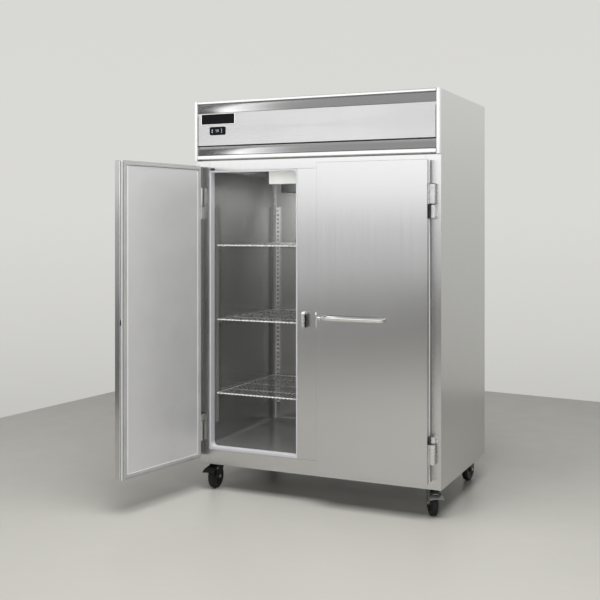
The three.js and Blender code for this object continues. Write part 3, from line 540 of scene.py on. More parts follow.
def door(name, at, body):
    (x0, x1), (y0, y1), (z0, z1) = DOOR_X, DOOR_Y, DOOR_Z
    # how far back the pan's sides are folded, and where the liner's rim begins
    fold, seam = -36, -19

    # pan: four folded sides and a front, with the cam's slot in the free edge
    p = Piece()
    p.ring(door_line(0, 2.5, 3), door_line(14, 2.5, 3), (y1 - 1.4, y1), 0.5)
    p.box((x0 + 0.02, x1 - 0.02), (y0, y0 + 3), (z0, z1), 1.4, 3)
    free, hung, across = (x0, x0 + 1.2), (x1 - 1.2, x1), (x0 + 0.5, x1 - 0.5)
    for x, z, bevel in ((free, (z0 + 1, CAM_SLOT[0]), 0.3), (free, (CAM_SLOT[1], z1 - 1), 0.3),
                        (free, (CAM_SLOT[0] - 1, CAM_SLOT[1] + 1), 0.2), (hung, (z0 + 1, z1 - 1), 0.3),
                        (across, (z0, z0 + 1.2), 0.3), (across, (z1 - 1.2, z1), 0.3)):
        p.box(x, (y0 + 1, fold), z, bevel)
    p.done(f"door_pan_{name}", DOOR_STEEL, body, at, "door_stainless", f"door_shell_{name}")

    # the pan's rolled edge, the recessed joint behind it, and the liner's rim, whose pale tone is partly a
    # painted highlight along the edge
    Piece().ring(door_line(0.1, 2.5, 3), door_line(4, 1.5, 3), (fold - 0.2, fold + 7), 2.6).done(
        f"door_bead_{name}", CHROME, body, at)
    p = Piece()
    deep, floor = 2.6, 5
    free, hung, across = (x0 + deep, x0 + floor), (x1 - floor, x1 - deep), (x0 + floor, x1 - floor)
    for x, z in ((free, (z0 + deep, CAM_SLOT[0])), (free, (CAM_SLOT[1], z1 - deep)),
                 (hung, (z0 + deep, z1 - deep)), (across, (z0 + deep, z0 + floor)),
                 (across, (z1 - floor, z1 - deep))):
        p.box(x, (fold + 4, seam + 1), z, 0.3)
    p.done(f"door_joint_{name}", GASKET, body, at)
    Piece().ring(door_line(0.4, 2.5, 3), door_line(4, 2, 3), (seam, y1 - 0.2), 1.2).done(
        f"door_rim_{name}", PANEL_EDGE, body, at)

    # inner liner: flat rim, raised panel with a soft fold all round, and a back
    part = bmesh.new()
    levels = (12, 3, y1 - 2), (12, 3, y1 + 0.2), (26, 9, y1 + 0.2), (28, 9, y1 + 4.6), (33, 9, y1 + 6.8)
    rows = [[part.verts.new((a, y, b)) for a, b in door_line(d, radius, 6)] for d, radius, y in levels]
    join(part, rows)
    part.faces.new(rows[0])
    part.faces.new(rows[-1][::-1])
    Piece().outward(part).done(f"door_liner_{name}_sheet", DOOR_INNER, body, at, "door_core",
                               f"door_liner_{name}", smooth=60)

    # a pale bead round the panel
    Piece().ring(door_line(24.6, 10, 6), door_line(28.4, 9, 6), (y1, y1 + 6.4), 1.5).done(
        f"panel_bead_{name}", PANEL_EDGE, body, at)

    # gasket: a flat base, and inside it the magnetic bulb
    p = Piece()
    for a, b, height in ((3, 12.5, 7.5), (11.5, 22, 9.5)):
        p.ring(door_line(a, 4, 5), door_line(b, 3, 5), (y1 + 0.3, y1 + height), 1.3)
    p.done(f"gasket_{name}", GASKET, body, at, "gasket", f"door_gasket_{name}")


def handle(name, at, body):
    """A bowed chrome bar on two feet. The bar is an oval that swells at its ends."""
    start, length, zc = DOOR_X[0] + 25, 346, 962
    face = DOOR_Y[0] - 0.4
    bow, end = 36.5, 40
    steps = 40
    part = bmesh.new()
    rings = []
    for i in range(steps + 1):
        t = i / steps
        edge = min(t, 1 - t) * length
        u = math.sqrt(min(1, edge / end))
        if edge < end:
            proud = 2 * u * (1 - u) * 31.5 + bow * u * u
        else:
            proud = bow + 6.5 * (1 - ((length / 2 - edge) / (length / 2 - end)) ** 2)
        swell = max(0, 1 - edge / 50) ** 1.5
        half_y = 6.4 + 0.4 * swell
        half_z = 12 + 0.4 * swell
        y = face - max(1, proud - half_y)
        rings.append([part.verts.new((start + length * t, y + half_y * c, zc + half_z * s))
                      for c, s in around(20)])
    join(part, rings)
    part.faces.new(rings[0][::-1])
    part.faces.new(rings[-1])
    p = Piece().outward(part)
    for foot in (start + 2, start + length - 34):
        p.box((foot, foot + 32), (face - 5, face), (zc - 12, zc + 12), 2.4, 3)
        p.box((foot + 5, foot + 27), (face - 29, face - 2), (zc - 8, zc + 8), 5, 3)
    p.done(f"pull_{name}", CHROME, body, at, "chrome", f"door_handle_{name}")


def lock(name, at):
    x, z = DOOR_X[0] + 13, 956
    p = Piece()
    p.lathe([(0, 0), (8.6, 0), (10, 0.7), (10, 3), (7.9, 3.2), (7.9, 38), (0, 38)], (x, -66.4, z), "y")
    p.box((x - 4, x + 4), (-28.5, -25.5), (z - 23, z + 4), 1.4)
    p.done(f"lock_{name}", CHROME, f"{name}_lock", at, "chrome", f"lock_cylinder_{name}")
    # painted shade: a flat black patch stands for the dark hole of the keyway
    Piece().box((x - 0.7, x + 0.7), (-66.7, -66.2), (z - 4, z + 4), 0.2).done(
        f"keyway_shade_{name}", PAINTED_SHADE, f"{name}_lock", at)


def hinges(name, side, at, body):
    """d and c are the heights, from and to, of a hinge's leaves on the door and the cabinet."""
    hx, hy = HINGE.x, HINGE.y
    edge = DOOR_X[1]
    steel = SATIN if side > 0 else FRAME_STEEL
    for where, d, c in (("upper", (1528, 1630), (1458, 1527)), ("lower", (266, 370), (371, 405))):
        long, short = d[1] - d[0], c[1] - c[0]
        p = Piece()
        p.lathe([(0, 0), (7.8, 0), (9, 1.2), (9, long - 5), (8, long - 2), (5, long), (0, long)],
                (hx, hy, d[0]))
        p.box((edge + 0.4, edge + 3), (-57, -12), d, 1)
        p.box((edge + 0.6, hx + 12), (-36, -14), (d[0] + 1, d[1] - 2), 4.5, 5)
        p.done(f"hinge_cover_{name}_{where}", steel, body, at, "chrome", f"hinge_door_{name}_{where}")
        q = Piece()
        q.lathe([(0, 0), (6.6, 0), (7.8, 1.2), (7.8, short - 1.2), (6.8, short), (0, short)],
                (hx, hy, c[0]), segments=28)
        q.box((hx - 3, hx + 20), (-3, -0.4), (c[0] - 3, c[1] + 3), 1.1)
        q.box((hx - (9 if side > 0 else 2), hx + 12), (hy - 10, -2), (c[0] + 1, c[1] - 1), 4, 4)
        for zc in (c[0] + 10, c[1] - 10):
            q.rod("y", (hx + 16, zc), 3, (-4.8, -2.8), 0.8, 16)
        q.done(f"hinge_base_{name}_{where}", steel, "cabinet", mirror(side), "chrome",
               f"hinge_cabinet_{name}_{where}")
        # painted shade: a black strip on the door's edge for the shaded slot beside the cabinet leaf
        Piece().box((edge - 0.5, edge + 1.2), (-56, -22), (c[0], c[1] + 3), 0.5).done(
            f"hinge_slot_shade_{name}_{where}", BLACK, body, at)


def keeper(name, side):
    """A steel box on the mullion with a round top, open towards the door for the cam. The top's paler plating
    is a painted highlight, and the black strips on its side and front are painted shade.
    """
    x0, x1, z0, z1, proud = 28.5, 46.5, 897, 984, 32
    r, wall = 13, 39.5
    cam_y, cam_z = (-30.4, -23.5), (944, 967)
    quarter = around(24)[:7]
    outline = [(-0.4, z0)] + [(-proud + r - r * s, z0 + r - r * c) for c, s in quarter]
    outline += [(-proud + r - r * c, z1 - r + r * s) for c, s in quarter] + [(-0.4, z1)]

    def above(level):
        return [(-proud, level)] + [(y, z) for y, z in outline if z > level] + [(-0.4, level)]

    below = [(y, z) for y, z in outline if z < cam_z[0]] + [(-proud, cam_z[0]), (-0.4, cam_z[0])]
    p = Piece()
    p.prism(outline, "x", (x0 + 0.8, wall), 1.2, 3)
    p.prism(above(cam_z[1]), "x", (wall - 0.4, x1), 0.8)
    p.prism(below, "x", (wall - 0.4, x1), 0.8)
    p.box((wall - 0.4, x1), (cam_y[1], -0.4), cam_z, 0.3)
    p.box((wall - 0.4, x1), (-proud, cam_y[0]), (cam_z[0] - 0.5, cam_z[1] + 0.5), 0.2)
    p.done(f"keeper_{name}", SATIN, "cabinet", mirror(side), "chrome", f"lock_keeper_{name}")
    # painted highlight: the keeper's round top in paler plating
    Piece().prism(above(z1 - r + 2), "x", (x0 + 0.4, x1), 1.2).done(
        f"keeper_cap_{name}", CAP_HIGHLIGHT, "cabinet", mirror(side), "chrome")
    # painted shade: black strips on the keeper's side and front, for its shaded side face and slot
    s = Piece()
    s.box((x0 + 0.3, x0 + 5), (-proud + 4, -3), (z0 + 6, z1 - r - 2), 0.6)
    s.box((x0 + 2.4, x0 + 4.4), (-proud - 0.3, -proud + 3), (z0 + 8, z1 - r - 2), 0.6)
    s.done(f"keeper_slot_shade_{name}", PAINTED_SHADE, "cabinet", mirror(side))


for _name, _side in SIDES:
    _at, _body = on_door(_side), f"{_name}_door"
    door(_name, _at, _body)
    handle(_name, _at, _body)
    lock(_name, _at)
    hinges(_name, _side, _at, _body)
    keeper(_name, _side)


# ---- Shelves and pilasters
def shelf(name, side, number, z):
    (x0, x1), (y0, y1) = x, y = (8, 599), (66, 763)
    p = Piece()
    e = Piece().tube([(a, b, z - 4.8) for a, b in rounded(x, y, 10, 4)], 2.6, closed=True)
    for cross in (y0 + 150, (y0 + y1) / 2, y1 - 150):
        p.tube([(x0, cross, z - 4.2), (x1, cross, z - 4.2)], 2.4, 8)
    wires = 27
    for i in range(wires):
        a = x0 + 10 + (x1 - x0 - 20) * i / (wires - 1)
        p.tube([(a, y0 - 0.6, z - 5.2), (a, y0 - 0.4, z - 2.8), (a, y0 + 1.8, z - 1.7),
                (a, y1 - 1.8, z - 1.7), (a, y1 + 0.4, z - 2.8), (a, y1 + 0.6, z - 5.2)], 1.6, 6)
        e.tube([(a, y0 - 1, z - 8.4), (a, y0 - 2, z - 4.4), (a, y0 - 0.2, z - 1.6)], 2.9, 8)
    e.done(f"shelf_edge_{name}_{number}", WIRE_EDGE, "cabinet", mirror(side), "shelf_wire")
    p.done(f"wire_shelf_{name}_{number}", WIRE, "cabinet", mirror(side), "shelf_wire",
           f"shelf_{name}_{number}")


def pilaster(node, x, y, turn, wide, steel):
    """A slotted channel against a wall at Y = 0, reaching to -Y, and its three shelf clips."""
    place = Matrix.Translation((x, y, 0)) @ Matrix.Rotation(math.radians(turn), 4, "Z")
    w, d, z0, z1 = 12.5, 12, 350, 1536
    pitch, bar = 25.4, 12
    p = Piece()
    for s in (-1, 1):
        p.box((s * w, s * (w - 1.4)), (-d, 0), (z0, z1), 0.3)
        p.box((s * w, s * 4.5), (-d, -d + 1.4), (z0, z1), 0.3)
    for i in range(int((z1 - z0) / pitch) + 1):
        z = z0 + i * pitch
        p.box((-5, 5), (-d + 0.05, -d + 1.35), (z, min(z + bar, z1)))
    p.done(f"{node}_channel", steel, "cabinet", place, "pilaster_steel", node)
    c = Piece()
    narrow = min(wide, 14)
    for z in SHELVES:
        top = z - 7.2
        c.box((-wide, wide), (-d - 19, -d + 0.6), (top - 2, top), 0.6)
        c.box((-narrow, narrow), (-d - 2.4, -d - 0.4), (top - 18, top - 0.4), 0.6)
        c.box((-wide, wide), (-d - 20, -d - 18.2), (top - 5, top + 2.4), 0.6)
    c.done(f"{node}_clips", ZINC, "cabinet", place, "pilaster_steel")


for _name, _side in SIDES:
    for _i, _z in enumerate(SHELVES):
        shelf(_name, _side, _i + 1, _z)
    # the rear pilasters' paler steel is a painted highlight; the front ones have the liner's darkened steel
    pilaster(f"pilaster_{_name}_front", _side * 615.2, 112, -90 * _side, 18, SHADED_LINER_STEEL)
    pilaster(f"pilaster_{_name}_rear", _side * 576, 788.2, 0, 18, PILASTER_HIGHLIGHT_STEEL)
pilaster("pilaster_centre_front", 0, 41.8, 180, 36, SHADED_LINER_STEEL)
pilaster("pilaster_centre_rear", 0, 788.2, 0, 36, PILASTER_HIGHLIGHT_STEEL)


# ---- Fans and evaporator
def fan_guard(p, at, radius, axis, rings, spokes):
    wire = 1.3
    for i in range(rings):
        r = radius * (i + 1.2) / (rings + 0.2)
        p.tube([(r * c, r * s, 0) for c, s in around(48)], wire, 6, True, Matrix.Translation(at) @ TURN[axis])
    lift = -2 * wire if axis == "z" else 2 * wire
    for c, s in around(2 * spokes)[:spokes]:
        c, s = c * radius, s * radius
        ends = [ALONG[axis](k * c, k * s, lift) for k in (-1, 1)]
        p.tube([[a + b for a, b in zip(at, end)] for end in ends], wire * 1.4, 6)


def blades(p, radius, hub, count, pitch):
    """Swept, twisted blades round a hub that turns about Z, from z = 0 up."""
    thick, camber, steps = 25, 4, 6
    root = hub * 0.9
    for k in range(count):
        part = bmesh.new()
        grid = []
        for i in range(steps + 1):
            r = root + (radius - root) * i / steps
            twist = math.radians(pitch + 14 * (1 - i / steps))
            chord = radius * (0.34 + 0.22 * math.sin(math.pi * min(1, i / 5)))
            row = []
            for j in range(steps + 1):
                u = (j / steps - 0.5) * chord
                rise = u * math.sin(twist) + camber * (1 - (2 * j / steps - 1) ** 2) - camber / 2
                z = thick / 2 + max(-thick / 2 + 1, min(thick / 2 - 1, rise))
                a = u * math.cos(twist) / r + 0.18 * i / steps
                row.append(part.verts.new((r * math.cos(a), r * math.sin(a), z)))
            grid.append(row)
        join(part, grid, closed=False)
        bmesh.ops.solidify(part, geom=part.faces[:], thickness=1.3)
        p.outward(part, Matrix.Rotation(2 * math.pi * k / count, 4, "Z"))


def fins(name, count, x, thick, y, z):
    f = Piece()
    for k in range(count):
        a = x[0] + (x[1] - x[0]) * k / (count - 1)
        f.box((a, a + thick), y, z)
    f.done(name, ALUMINIUM, slot="aluminium")


def coil(rows, count, z, pitch, span, bevel):
    """Straight tubes along X, in a column at each of the rows' Y."""
    t = Piece()
    for y in rows:
        for k in range(count):
            t.rod("x", (y, z + pitch * k), 4.5, span, bevel, 10)
    return t


def evaporator():
    x, y0, y1, z0, z1 = 343, 190, 640, 1650, 1740
    half = 150
    p = Piece()
    p.box((-x, x), (y0, y0 + 1.5), (z0, z1), 0.6)
    for s in (-1, 1):
        p.box((s * x, s * (x - 1.5)), (y0, y1), (z0, z1), 0.6)
    # the top, the rear's two strips, and the floor pan round the fans' squares
    for ys, zs in (((y0, y1), (z1 - 1.5, z1)), ((y1 - 1.5, y1), (z0, z0 + 14)),
                   ((y1 - 1.5, y1), (z1 - 14, z1)), ((y0, FAN_Y - half), (z0, z0 + 1.5)),
                   ((FAN_Y + half, y1), (z0, z0 + 1.5))):
        p.box((-x, x), ys, zs, 0.4)
    for xs in ((-x, -FAN_X - half), (-FAN_X + half, FAN_X - half), (FAN_X + half, x)):
        p.box(xs, (FAN_Y - half, FAN_Y + half), (z0, z0 + 1.5), 0.4)
    guards, drums, motors = Piece(), Piece(), Piece()
    for side in (-1, 1):
        cx, cy = side * FAN_X, FAN_Y
        p.mouth((cx, cy), (half, half), (146, 144), (z0 + 0.4, z0 + 16), "z")
        fan_guard(guards, (cx, cy, z0 - 43), 145, "z", 10, 6)
        drums.lathe([(145.4, 1606), (146.6, 1605.4), (148, 1606), (148, 1650), (145.4, 1650), (145.4, 1606)],
                    (cx, cy, 0), segments=72)
        motors.lathe([(0, 0), (26, 0), (30, 4), (30, 48), (24, 56), (0, 56)], (cx, cy, 1679))
        for c, s in around(3):
            motors.tube([(cx + r * c, cy + r * s, 1692) for r in (28, 146)], 2.4, 6)
    p.done("evaporator_case", HOUSING, slot="aluminium", replaces="evaporator_housing")
    fins("evaporator_fins", 110, (-320, 320), 0.5, (522, 618), (1666, 1736))
    coil((548, 592), 4, 1676, 16, (-330, 330), 0.5).done("evaporator_tubes", COPPER)
    guards.done("evaporator_guards", WIRE)
    drums.done("evaporator_drums", SHADE_DARK_ZINC)
    motors.done("evaporator_motors", BLACK_PAINT)
    Piece().box((-x + 12, x - 12), (505, y1 - 6), (z0 - 13, z0 - 0.6), 4, 3).done(
        "drip_tray", HOUSING)


def evaporator_fan(name, side):
    p = Piece().lathe([(0, 0), (22, 0), (28, 3), (30, 8), (30, 25), (0, 25)])
    blades(p, 137, 30, 5, 20)
    p.done(f"fan_{name}", BLACK, f"{name}_evaporator_fan", Matrix.Translation((side * FAN_X, FAN_Y, 1652.4)),
           "black_plastic", f"evaporator_fan_{name}")


evaporator()
for _name, _side in SIDES:
    evaporator_fan(_name, _side)


# ---- Condensing unit on the deck
FEET = DECK + 1


def deck_edges():
    """Angles along the deck's sides, where the foam would show."""
    for name, s in SIDES:
        p = Piece()
        p.box((s * 640, s * 681), (3, 845.5), (DECK - 0.2, DECK + 1.2), 0.3)
        p.box((s * 679.6, s * 681), (3, 845.5), (DECK, DECK + 24), 0.3)
        for k in range(5):
            p.rod("z", (s * 661, 60 + 180 * k), 4.5, (DECK + 1, DECK + 3.2), 0.8, 6)
        p.done(f"deck_edge_{name}", BACK_STEEL, slot="back_steel")


def condenser():
    (x0, x1), (z0, z1) = x, z = (60, 440), (1812, 2062)
    xc, zc = (x0 + x1) / 2, (z0 + z1) / 2
    fins("condenser_fins", 120, (x0 + 8, x1 - 8), 0.45, (64, 110), (z0 + 6, z1 - 6))
    rows, pitch = 9, 26
    t = coil((76, 98), rows, z0 + 20, pitch, (x0 + 2, x1 - 2), 0.4)
    for k in range(rows - 1):
        end = x1 - 1 if k % 2 else x0 + 1
        t.tube([(end, 98, z0 + 20 + pitch * k + 13 - 13 * c) for c, _ in around(12)[:7]], 4.2, 8)
    t.done("condenser_tubes", COPPER)
    s = Piece()
    s.ring(rounded(x, z, 4, 12), rounded(x, z, 3, 12, 6), (62, 154), 0.8)
    s.mouth((xc, zc), ((x1 - x0 - 12) / 2, (z1 - z0 - 12) / 2), (112, 110), (153, 128), "y")
    s.done("condenser_shroud", BACK_STEEL, slot="aluminium", replaces="condenser_coil")
    g = Piece()
    fan_guard(g, (xc, 156, zc), 108, "y", 7, 4)
    g.done("condenser_guard", BLACK_PAINT)
    Piece().lathe([(0, 0), (32, 0), (32, 5), (0, 5)], (xc, 113, zc), "y").done(
        "condenser_motor", BLACK_PAINT)
    b = Piece().lathe([(0, 0), (26, 0), (26, 23), (20, 26), (0, 26)], segments=28)
    blades(b, 103, 26, 6, 26)
    b.done("condenser_blades", ALUMINIUM, "condenser_fan", Matrix.Translation((xc, 120.6, zc)) @ TURN["y"],
           "aluminium", "condenser_fan")


def compressor():
    """A domed can with a weld seam, on a plate with rubber feet."""
    cx, cy = -250, 330
    profile = path((0, 0), (70, 0), ((90, 2), (92, 26), 6), (92, 86), (94.5, 88), (94.5, 94), (92, 96),
                   (92, 130), ((92, 200), (0, 204), 12))
    c = Piece()
    c.lathe(profile, (cx, cy, FEET + 14), segments=56)
    c.box((cx - 28, cx + 28), (cy - 112, cy - 84), (FEET + 50, FEET + 120), 5, 3)
    c.done("compressor_can", BLACK_PAINT, slot="black_paint", replaces="compressor")
    plate, feet = Piece(), Piece()
    plate.box((cx - 130, cx + 130), (cy - 93, cy + 93), (FEET + 10, FEET + 13), 1.2)
    for i, j in four(109, 73):
        plate.rod("z", (cx + i, cy + j), 6, (FEET + 12, FEET + 19), 1, 6)
        feet.lathe([(0, 0), (12, 0), (13, 3), (10, 6), (12, 9), (0, 9.6)], (cx + i, cy + j, FEET), "z", 20)
    plate.done("compressor_plate", ZINC)
    feet.done("compressor_feet", TYRE)


def pipe(name, material, radius, *points):
    """A tube with a bend at each inner point. Heights are above the deck."""
    bend = 28
    pts = [Vector((x, y, FEET + z)) for x, y, z in points]
    line = [pts[0]]
    for a, b, c in zip(pts, pts[1:], pts[2:]):
        k = min(bend, (b - a).length * 0.45, (c - b).length * 0.45)
        start = b - (b - a).normalized() * k
        end = b + (c - b).normalized() * k
        for i in range(7):
            u = i / 6
            line.append(start * (1 - u) ** 2 + b * 2 * u * (1 - u) + end * u ** 2)
    Piece().tube(line + [pts[-1]], radius, 12).done(name, material)


def pipework():
    Piece().lathe(both_ends([(0, 0), (30, 3), (44, 16), (45, 30)], 220), (-20, 420, FEET + 4), "z", 36).done(
        "receiver", BLACK_PAINT)
    Piece().lathe([(0, 0), (6, 2), (14, 14), (15, 22), (15, 92), (14, 100), (6, 112), (0, 114)],
                  (-30, 520, FEET + 120), "x", 24).done("filter_drier", COPPER)
    pipe("discharge_pipe", COPPER, 5, (-190, 360, 190), (-150, 360, 225), (20, 300, 225), (52, 200, 200),
         (52, 98, 210))
    pipe("liquid_pipe", COPPER, 4.5, (58, 98, 20), (20, 200, 20), (-20, 300, 40), (-20, 380, 60))
    pipe("drier_inlet", COPPER, 4, (-20, 460, 200), (-20, 520, 200), (-60, 520, 120), (-20, 520, 120))
    pipe("suction_pipe", INSULATOR, 11, (-250, 240, 100), (-250, 190, 140), (-90, 190, 160), (-90, 600, 90),
         (0, 600, 60), (0, 600, 2))


def electrical_box():
    e = Piece()
    e.box((-560, -400), (60, 190), (FEET + 6, FEET + 126), 2)
    e.box((-564, -396), (56, 194), (FEET + 120, FEET + 132), 2)
    e.done("electrical_box", BACK_STEEL, slot="back_steel")
    e = Piece()
    for i, j in four(76, 60):
        e.rod("z", (-480 + i, 125 + j), 3.6, (FEET + 131, FEET + 134), 0.6, 12)
    e.done("box_screws", SCREW)
    Piece().lathe([(0, 0), (14, 0), (14, 6), (10, 8), (10, 16), (7, 22), (0, 22)], (-480, 190, FEET + 66),
                  "y", 6).done("cable_gland", BLACK)


def evaporate_pan():
    n = Piece()
    n.box((300, 560), (520, 740), (FEET + 2, FEET + 6), 1)
    for x, y in (((300, 303), (520, 740)), ((557, 560), (520, 740)), ((300, 560), (520, 523)),
                 ((300, 560), (737, 740))):
        n.box(x, y, (FEET + 2, FEET + 60), 1)
    n.done("evaporate_pan", ALUMINIUM, slot="aluminium")
    w = Piece()
    passes, z = 8, FEET + 14
    for k in range(passes):
        y = 540 + 26 * k
        w.tube([(320, y, z), (540, y, z)], 4, 8)
        if k < passes - 1:
            x, sign = (320, -1) if k % 2 else (540, 1)
            w.tube([(x + sign * 12 * s, y + 13 - 13 * c, z) for c, s in around(12)[:7]], 4, 8)
    w.done("pan_heater", COPPER)


deck_edges()
condenser()
compressor()
pipework()
electrical_box()
evaporate_pan()


# ---- Casters, drawn about the swivel axis
def brake_pedal(name, finish_and_shade, at):
    y, z = -66, 114
    spine = [(4, 11), (-8, 10), (-22, 6.5), (-36, -0.5), (-48, -10), (-54, -16)]
    part = bmesh.new()
    rows = []
    for i, (a, b) in enumerate(spine):
        width = 25.5 + 10.5 * min(1, max(0, (i - 1) / 2.5))
        rows.append([part.verts.new((width * u, y + a, z + b - 3.2 * u * u))
                     for u in [k / 4 - 1 for k in range(9)]])
    join(part, rows, closed=False)
    bmesh.ops.solidify(part, geom=part.faces[:], thickness=2.4)
    q = Piece().outward(part)
    ear = [(8, -7), (9, 6), (2, 10), (-10, 8), (-30, 0), (-28, -7), (-8, -9)]
    for s in (-1, 1):
        q.prism([(y + a, z + b) for a, b in ear], "x", (s * 23.4, s * 26), 0.5)
    q.box((-13, 13), (y - 28, y - 20), (z - 2, z + 5), 1.5)
    q.done(f"pedal_{name}", finish_and_shade, f"{name}_pedal", at, "zinc", f"brake_pedal_{name}")
    v = Piece()
    for radius, span, bevel in ((3.8, (-29, 29), 0.5), (6.2, (-30, -26.6), 1), (6.2, (26.6, 30), 1)):
        v.rod("x", (y, z), radius, span, bevel, 16)
    v.done(f"pedal_pin_{name}", SCREW, f"{name}_swivel", at)


def caster(name, side, y, heading, brake, finish_and_shade):
    fixed = Matrix.Translation((side * (HALF - 82), y, 0))
    at = fixed @ Matrix.Rotation(math.radians(heading), 4, "Z")
    swivel = f"{name}_swivel"

    # fork, race, and axle bolt with its nuts
    p = Piece()
    leg = [(26, 136), (26, 126), (18, 118), (-18, 62), (-24, 53), (-35, 50), (-46, 53), (-52, 62), (-72, 108),
           (-72, 120), (-62, 131), (-52, 136)]
    for s in (-1, 1):
        p.prism(leg, "x", (s * 19.5, s * 22.3), 0.6)
    p.box((-22.3, 22.3), (-54, 26), (133, 136.2), 1.4, 3)
    p.done(f"fork_{name}", finish_and_shade, swivel, at, "zinc", f"caster_fork_{name}")
    Piece().lathe([(0, 134), (30, 134), (31.5, 137), (31.5, 141), (29, 142.4), (24, 142.6), (24, 145),
                   (29, 145.4), (30.5, 147), (30.5, 150), (27, 151.4), (0, 151.5)], segments=40).done(
        f"race_{name}", finish_and_shade, swivel, at)
    b = Piece()
    for radius, span, bevel, sides in ((5.6, (-26, 26), 0.5, 20), (9.6, (-28.5, -22.6), 1.2, 6),
                                       (9.6, (22.6, 28.5), 1.2, 6)):
        b.rod("x", WHEEL[1:], radius, span, bevel, sides)
    b.done(f"axle_{name}", SCREW, swivel, at)

    # wheel: tyre on a dished hub
    tyre = [(46, -15), (52, -16), (59, -15.2), (62.4, -12.5), (63.4, -8.5)]
    hub = [(7.4, -17.6), (15, -17.6), (17.5, -15), (19, -9.5), (41, -8.5), (44, -13.5), (46.4, -14.6)]
    Piece().lathe(both_ends(tyre, 0) + tyre[:1], WHEEL, "x", 56).done(
        f"tyre_{name}", TYRE, f"{name}_wheel", at, "wheel", f"caster_wheel_{name}")
    Piece().lathe(both_ends(hub, 0) + hub[:1], WHEEL, "x", 48).done(
        f"hub_{name}", HUB, f"{name}_wheel", at)
    if brake:
        brake_pedal(name, finish_and_shade, at)

    # the plate that is bolted under the cabinet
    t = Piece().box((-57, 57), (-45, 45), (151.6, 155.6), 1.2)
    for place in four(46, 35):
        t.rod("z", place, 6.5, (146.5, 152), 1, 6)
    t.done(f"plate_{name}", ZINC, "cabinet", fixed)


# painted shade: the front left and rear casters are black for the shadow they sit in; the set's own finish is
# the front right's zinc
caster("front_left", -1, 96, 0, True, BLACK_PAINT)
caster("front_right", 1, 96, 32, True, ZINC)
caster("rear_left", -1, 752, 192, False, BLACK_PAINT)
caster("rear_right", 1, 752, 176, False, BLACK_PAINT)


# ---- Stage
def tone(v, warm=0.035):
    return (v, v * (1 - 0.1 * warm), v * (1 - warm))


# the room as light, by degrees above the horizon: ahead, to the right, and behind the camera
WALL_STOPS = ((-14, tone(0.50, 0.06)), (-6, tone(0.63, 0.05)), (1, tone(0.70, 0.04)),
              (12, tone(0.69, 0.04)), (60, tone(0.6)))
SIDE_STOPS = ((-14, tone(0.54, 0.06)), (-8, tone(0.62, 0.05)), (-3, tone(0.70, 0.04)),
              (1.4, tone(0.78, 0.03)), (6, tone(0.97, 0.01)), (14, tone(1.15, 0.0)), (25, tone(0.6)),
              (60, tone(0.5)))
BACK_STOPS = [(e, (v, v, v)) for e, v in (
    (-12, 0.20), (-4.9, 0.34), (-3.8, 0.70), (-0.4, 0.78), (0.9, 0.92), (1.9, 1.7), (2.8, 1.7), (3.3, 1.08),
    (3.9, 1.08), (4.6, 2.0), (8.2, 2.0), (9.6, 0.5), (60, 0.45))]
LEFT_DIM = 0.5    # behind the camera, the far left is this much of the rest
AMBIENT = 0.55    # and what the room sheds on dull surfaces is this much of what mirrors show
# the ceiling's reflection: light by x - CEILING_SLANT y, mm
CEILING_SLANT = 0.384
CEILING_STOPS = ((-1400, 0.10), (-1195, 0.10), (-1160, 2.4), (-1070, 2.1), (-1000, 1.35), (-880, 1.2),
                 (-740, 0.7), (-600, 0.45), (400, 0.42))


def at_cabinet(x, y, z):
    return (Vector((x, y, z)) + ORIGIN) / 1000


def flat(name, outline, z, material, order):
    """A level face of the stage. order is 1 or -1, for the way the outline is followed."""
    me = bpy.data.meshes.new(name)
    corners = [tuple(at_cabinet(x, y, z)) for x, y in outline]
    me.from_pydata(corners, [], [tuple(range(len(corners)))[::order]])
    me.materials.append(material)
    return link(name, me)


def floor_slab():
    """The floor, as far as the walls' feet behind the cabinet."""
    m, g, shader = new_material("floor")
    stops = [(0.3, (0.33, 0.322, 0.295)), (0.7, (0.352, 0.344, 0.318))]
    g.set(shader, {"Base Color": g.ramp(g.noise(0.6, 4, 0.5), stops), "Specular IOR Level": 0.3,
                   "Roughness": g.to_range(g.noise(5, 4, 0.6), 0.36, 0.46),
                   "Normal": g.bump(g.noise(14, 3, 0.5), 0.015, 0.002)})
    outline = [(-2790, 3996), (-2382, 3996), (-30, 3700), (938, 3578), (16000, 1680), (16000, -20000),
               (-6000, -20000), (-3700, -9150), (-2994, 1046), (-2906, 2317)]
    floor = flat("floor", outline, 0, m, -1)


def ceiling_card():
    """The room's ceiling in front of the cabinet, seen only in reflections: grey, with a slanting
    lamp towards the left and a dark end beyond it."""
    m, g, _ = new_material("ceiling card")
    sep = g.nodes.new("ShaderNodeSeparateXYZ")
    g.set(sep, {0: g.new("TexCoord", {}, "Object")})
    across = g.new("Math", {0: sep.outputs["Y"], 1: -CEILING_SLANT, 2: sep.outputs["X"]},
                   operation="MULTIPLY_ADD")
    shift = (ORIGIN.x - CEILING_SLANT * ORIGIN.y) / 1000
    low, high = CEILING_STOPS[0][0] / 1000 + shift, CEILING_STOPS[-1][0] / 1000 + shift
    stops = [((a / 1000 + shift - low) / (high - low), (v, v, v)) for a, v in CEILING_STOPS]
    light = g.new("Emission", {"Color": g.ramp(g.to_range(across, 0, 1, low, high), stops)})
    g.set(g.nodes["Material Output"], {"Surface": light})
    card = flat("ceiling_card", [(-3600, -4600), (-3600, -400), (2600, -400), (2600, -4600)], 3600, m, 1)
    for flag in ("visible_camera", "visible_diffuse", "visible_shadow", "visible_transmission"):
        setattr(card, flag, False)


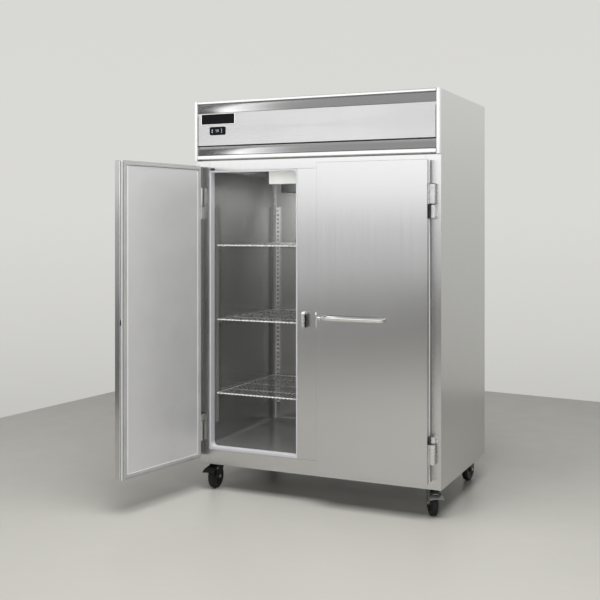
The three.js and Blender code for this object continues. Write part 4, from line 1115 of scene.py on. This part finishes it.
def camera():
    data = bpy.data.cameras.new("camera")
    cam = link("camera", data)
    cam.location = at_cabinet(2043.6, -4571.6, 1431.8)
    cam.rotation_euler = (math.pi / 2, 0, math.radians(24.80))
    data.sensor_width = 36
    data.lens = 58.6
    data.shift_y = -0.1265
    data.clip_end = 200
    bpy.context.scene.camera = cam


def room():
    """Pale walls and ceiling as a surrounding light, by the direction looked in."""
    world = bpy.data.worlds.new("room")
    bpy.context.scene.world = world
    g = Graph(world)
    sep = g.nodes.new("ShaderNodeSeparateXYZ")
    g.set(sep, {0: g.new("TexCoord", {}, "Generated")})
    x, y, z = (sep.outputs[axis] for axis in "XYZ")

    def by_height(stops):
        low, high = math.sin(math.radians(-30)), math.sin(math.radians(60))
        places = [((math.sin(math.radians(e)) - low) / (high - low), c) for e, c in stops]
        return g.ramp(g.to_range(z, 0, 1, low, high), places)

    wall, side, back = by_height(WALL_STOPS), by_height(SIDE_STOPS), by_height(BACK_STOPS)
    dim = by_height([(e, tuple(LEFT_DIM * v for v in c)) for e, c in BACK_STOPS])
    ahead = g.mix(g.to_range(x, 0, 1, 0.0, 0.22), wall, side)
    behind = g.mix(g.to_range(x, 1, 0, -0.8, -0.62), back, dim)
    dull = g.new("LightPath", {}, "Is Diffuse Ray")
    g.set(g.nodes["Background"], {"Color": g.mix(g.to_range(y, 0, 1, 0.3, -0.3), ahead, behind),
                                  "Strength": g.to_range(dull, 1, AMBIENT, 0, 1)})


def softbox(name, place, target, size, power):
    """A lamp that isn't seen in reflections."""
    data = bpy.data.lights.new(name, "AREA")
    data.shape = "RECTANGLE"
    data.size, data.size_y = size
    data.energy = power
    o = link(name, data)
    o.location = at_cabinet(*place)
    o.rotation_euler = (at_cabinet(*target) - o.location).to_track_quat("-Z", "Y").to_euler()
    o.visible_glossy = False


floor_slab()
camera()
room()
ceiling_card()
softbox("ceiling", (700, -1900, 5000), (700, -1800, 0), (3.6, 3.6), 430)
softbox("front", (1900, -4600, 2300), (-500, 0, 1100), (2.0, 1.6), 55)
softbox("interior", (-240, 500, 1570), (-170, 790, 1400), (0.36, 0.05), 6.0)
softbox("doorway", (-300, -60, 1560), (-300, 190, 1700), (0.3, 0.05), 0.42)
bpy.context.scene.view_settings.view_transform = "Standard"

bpy.context.view_layer.update()
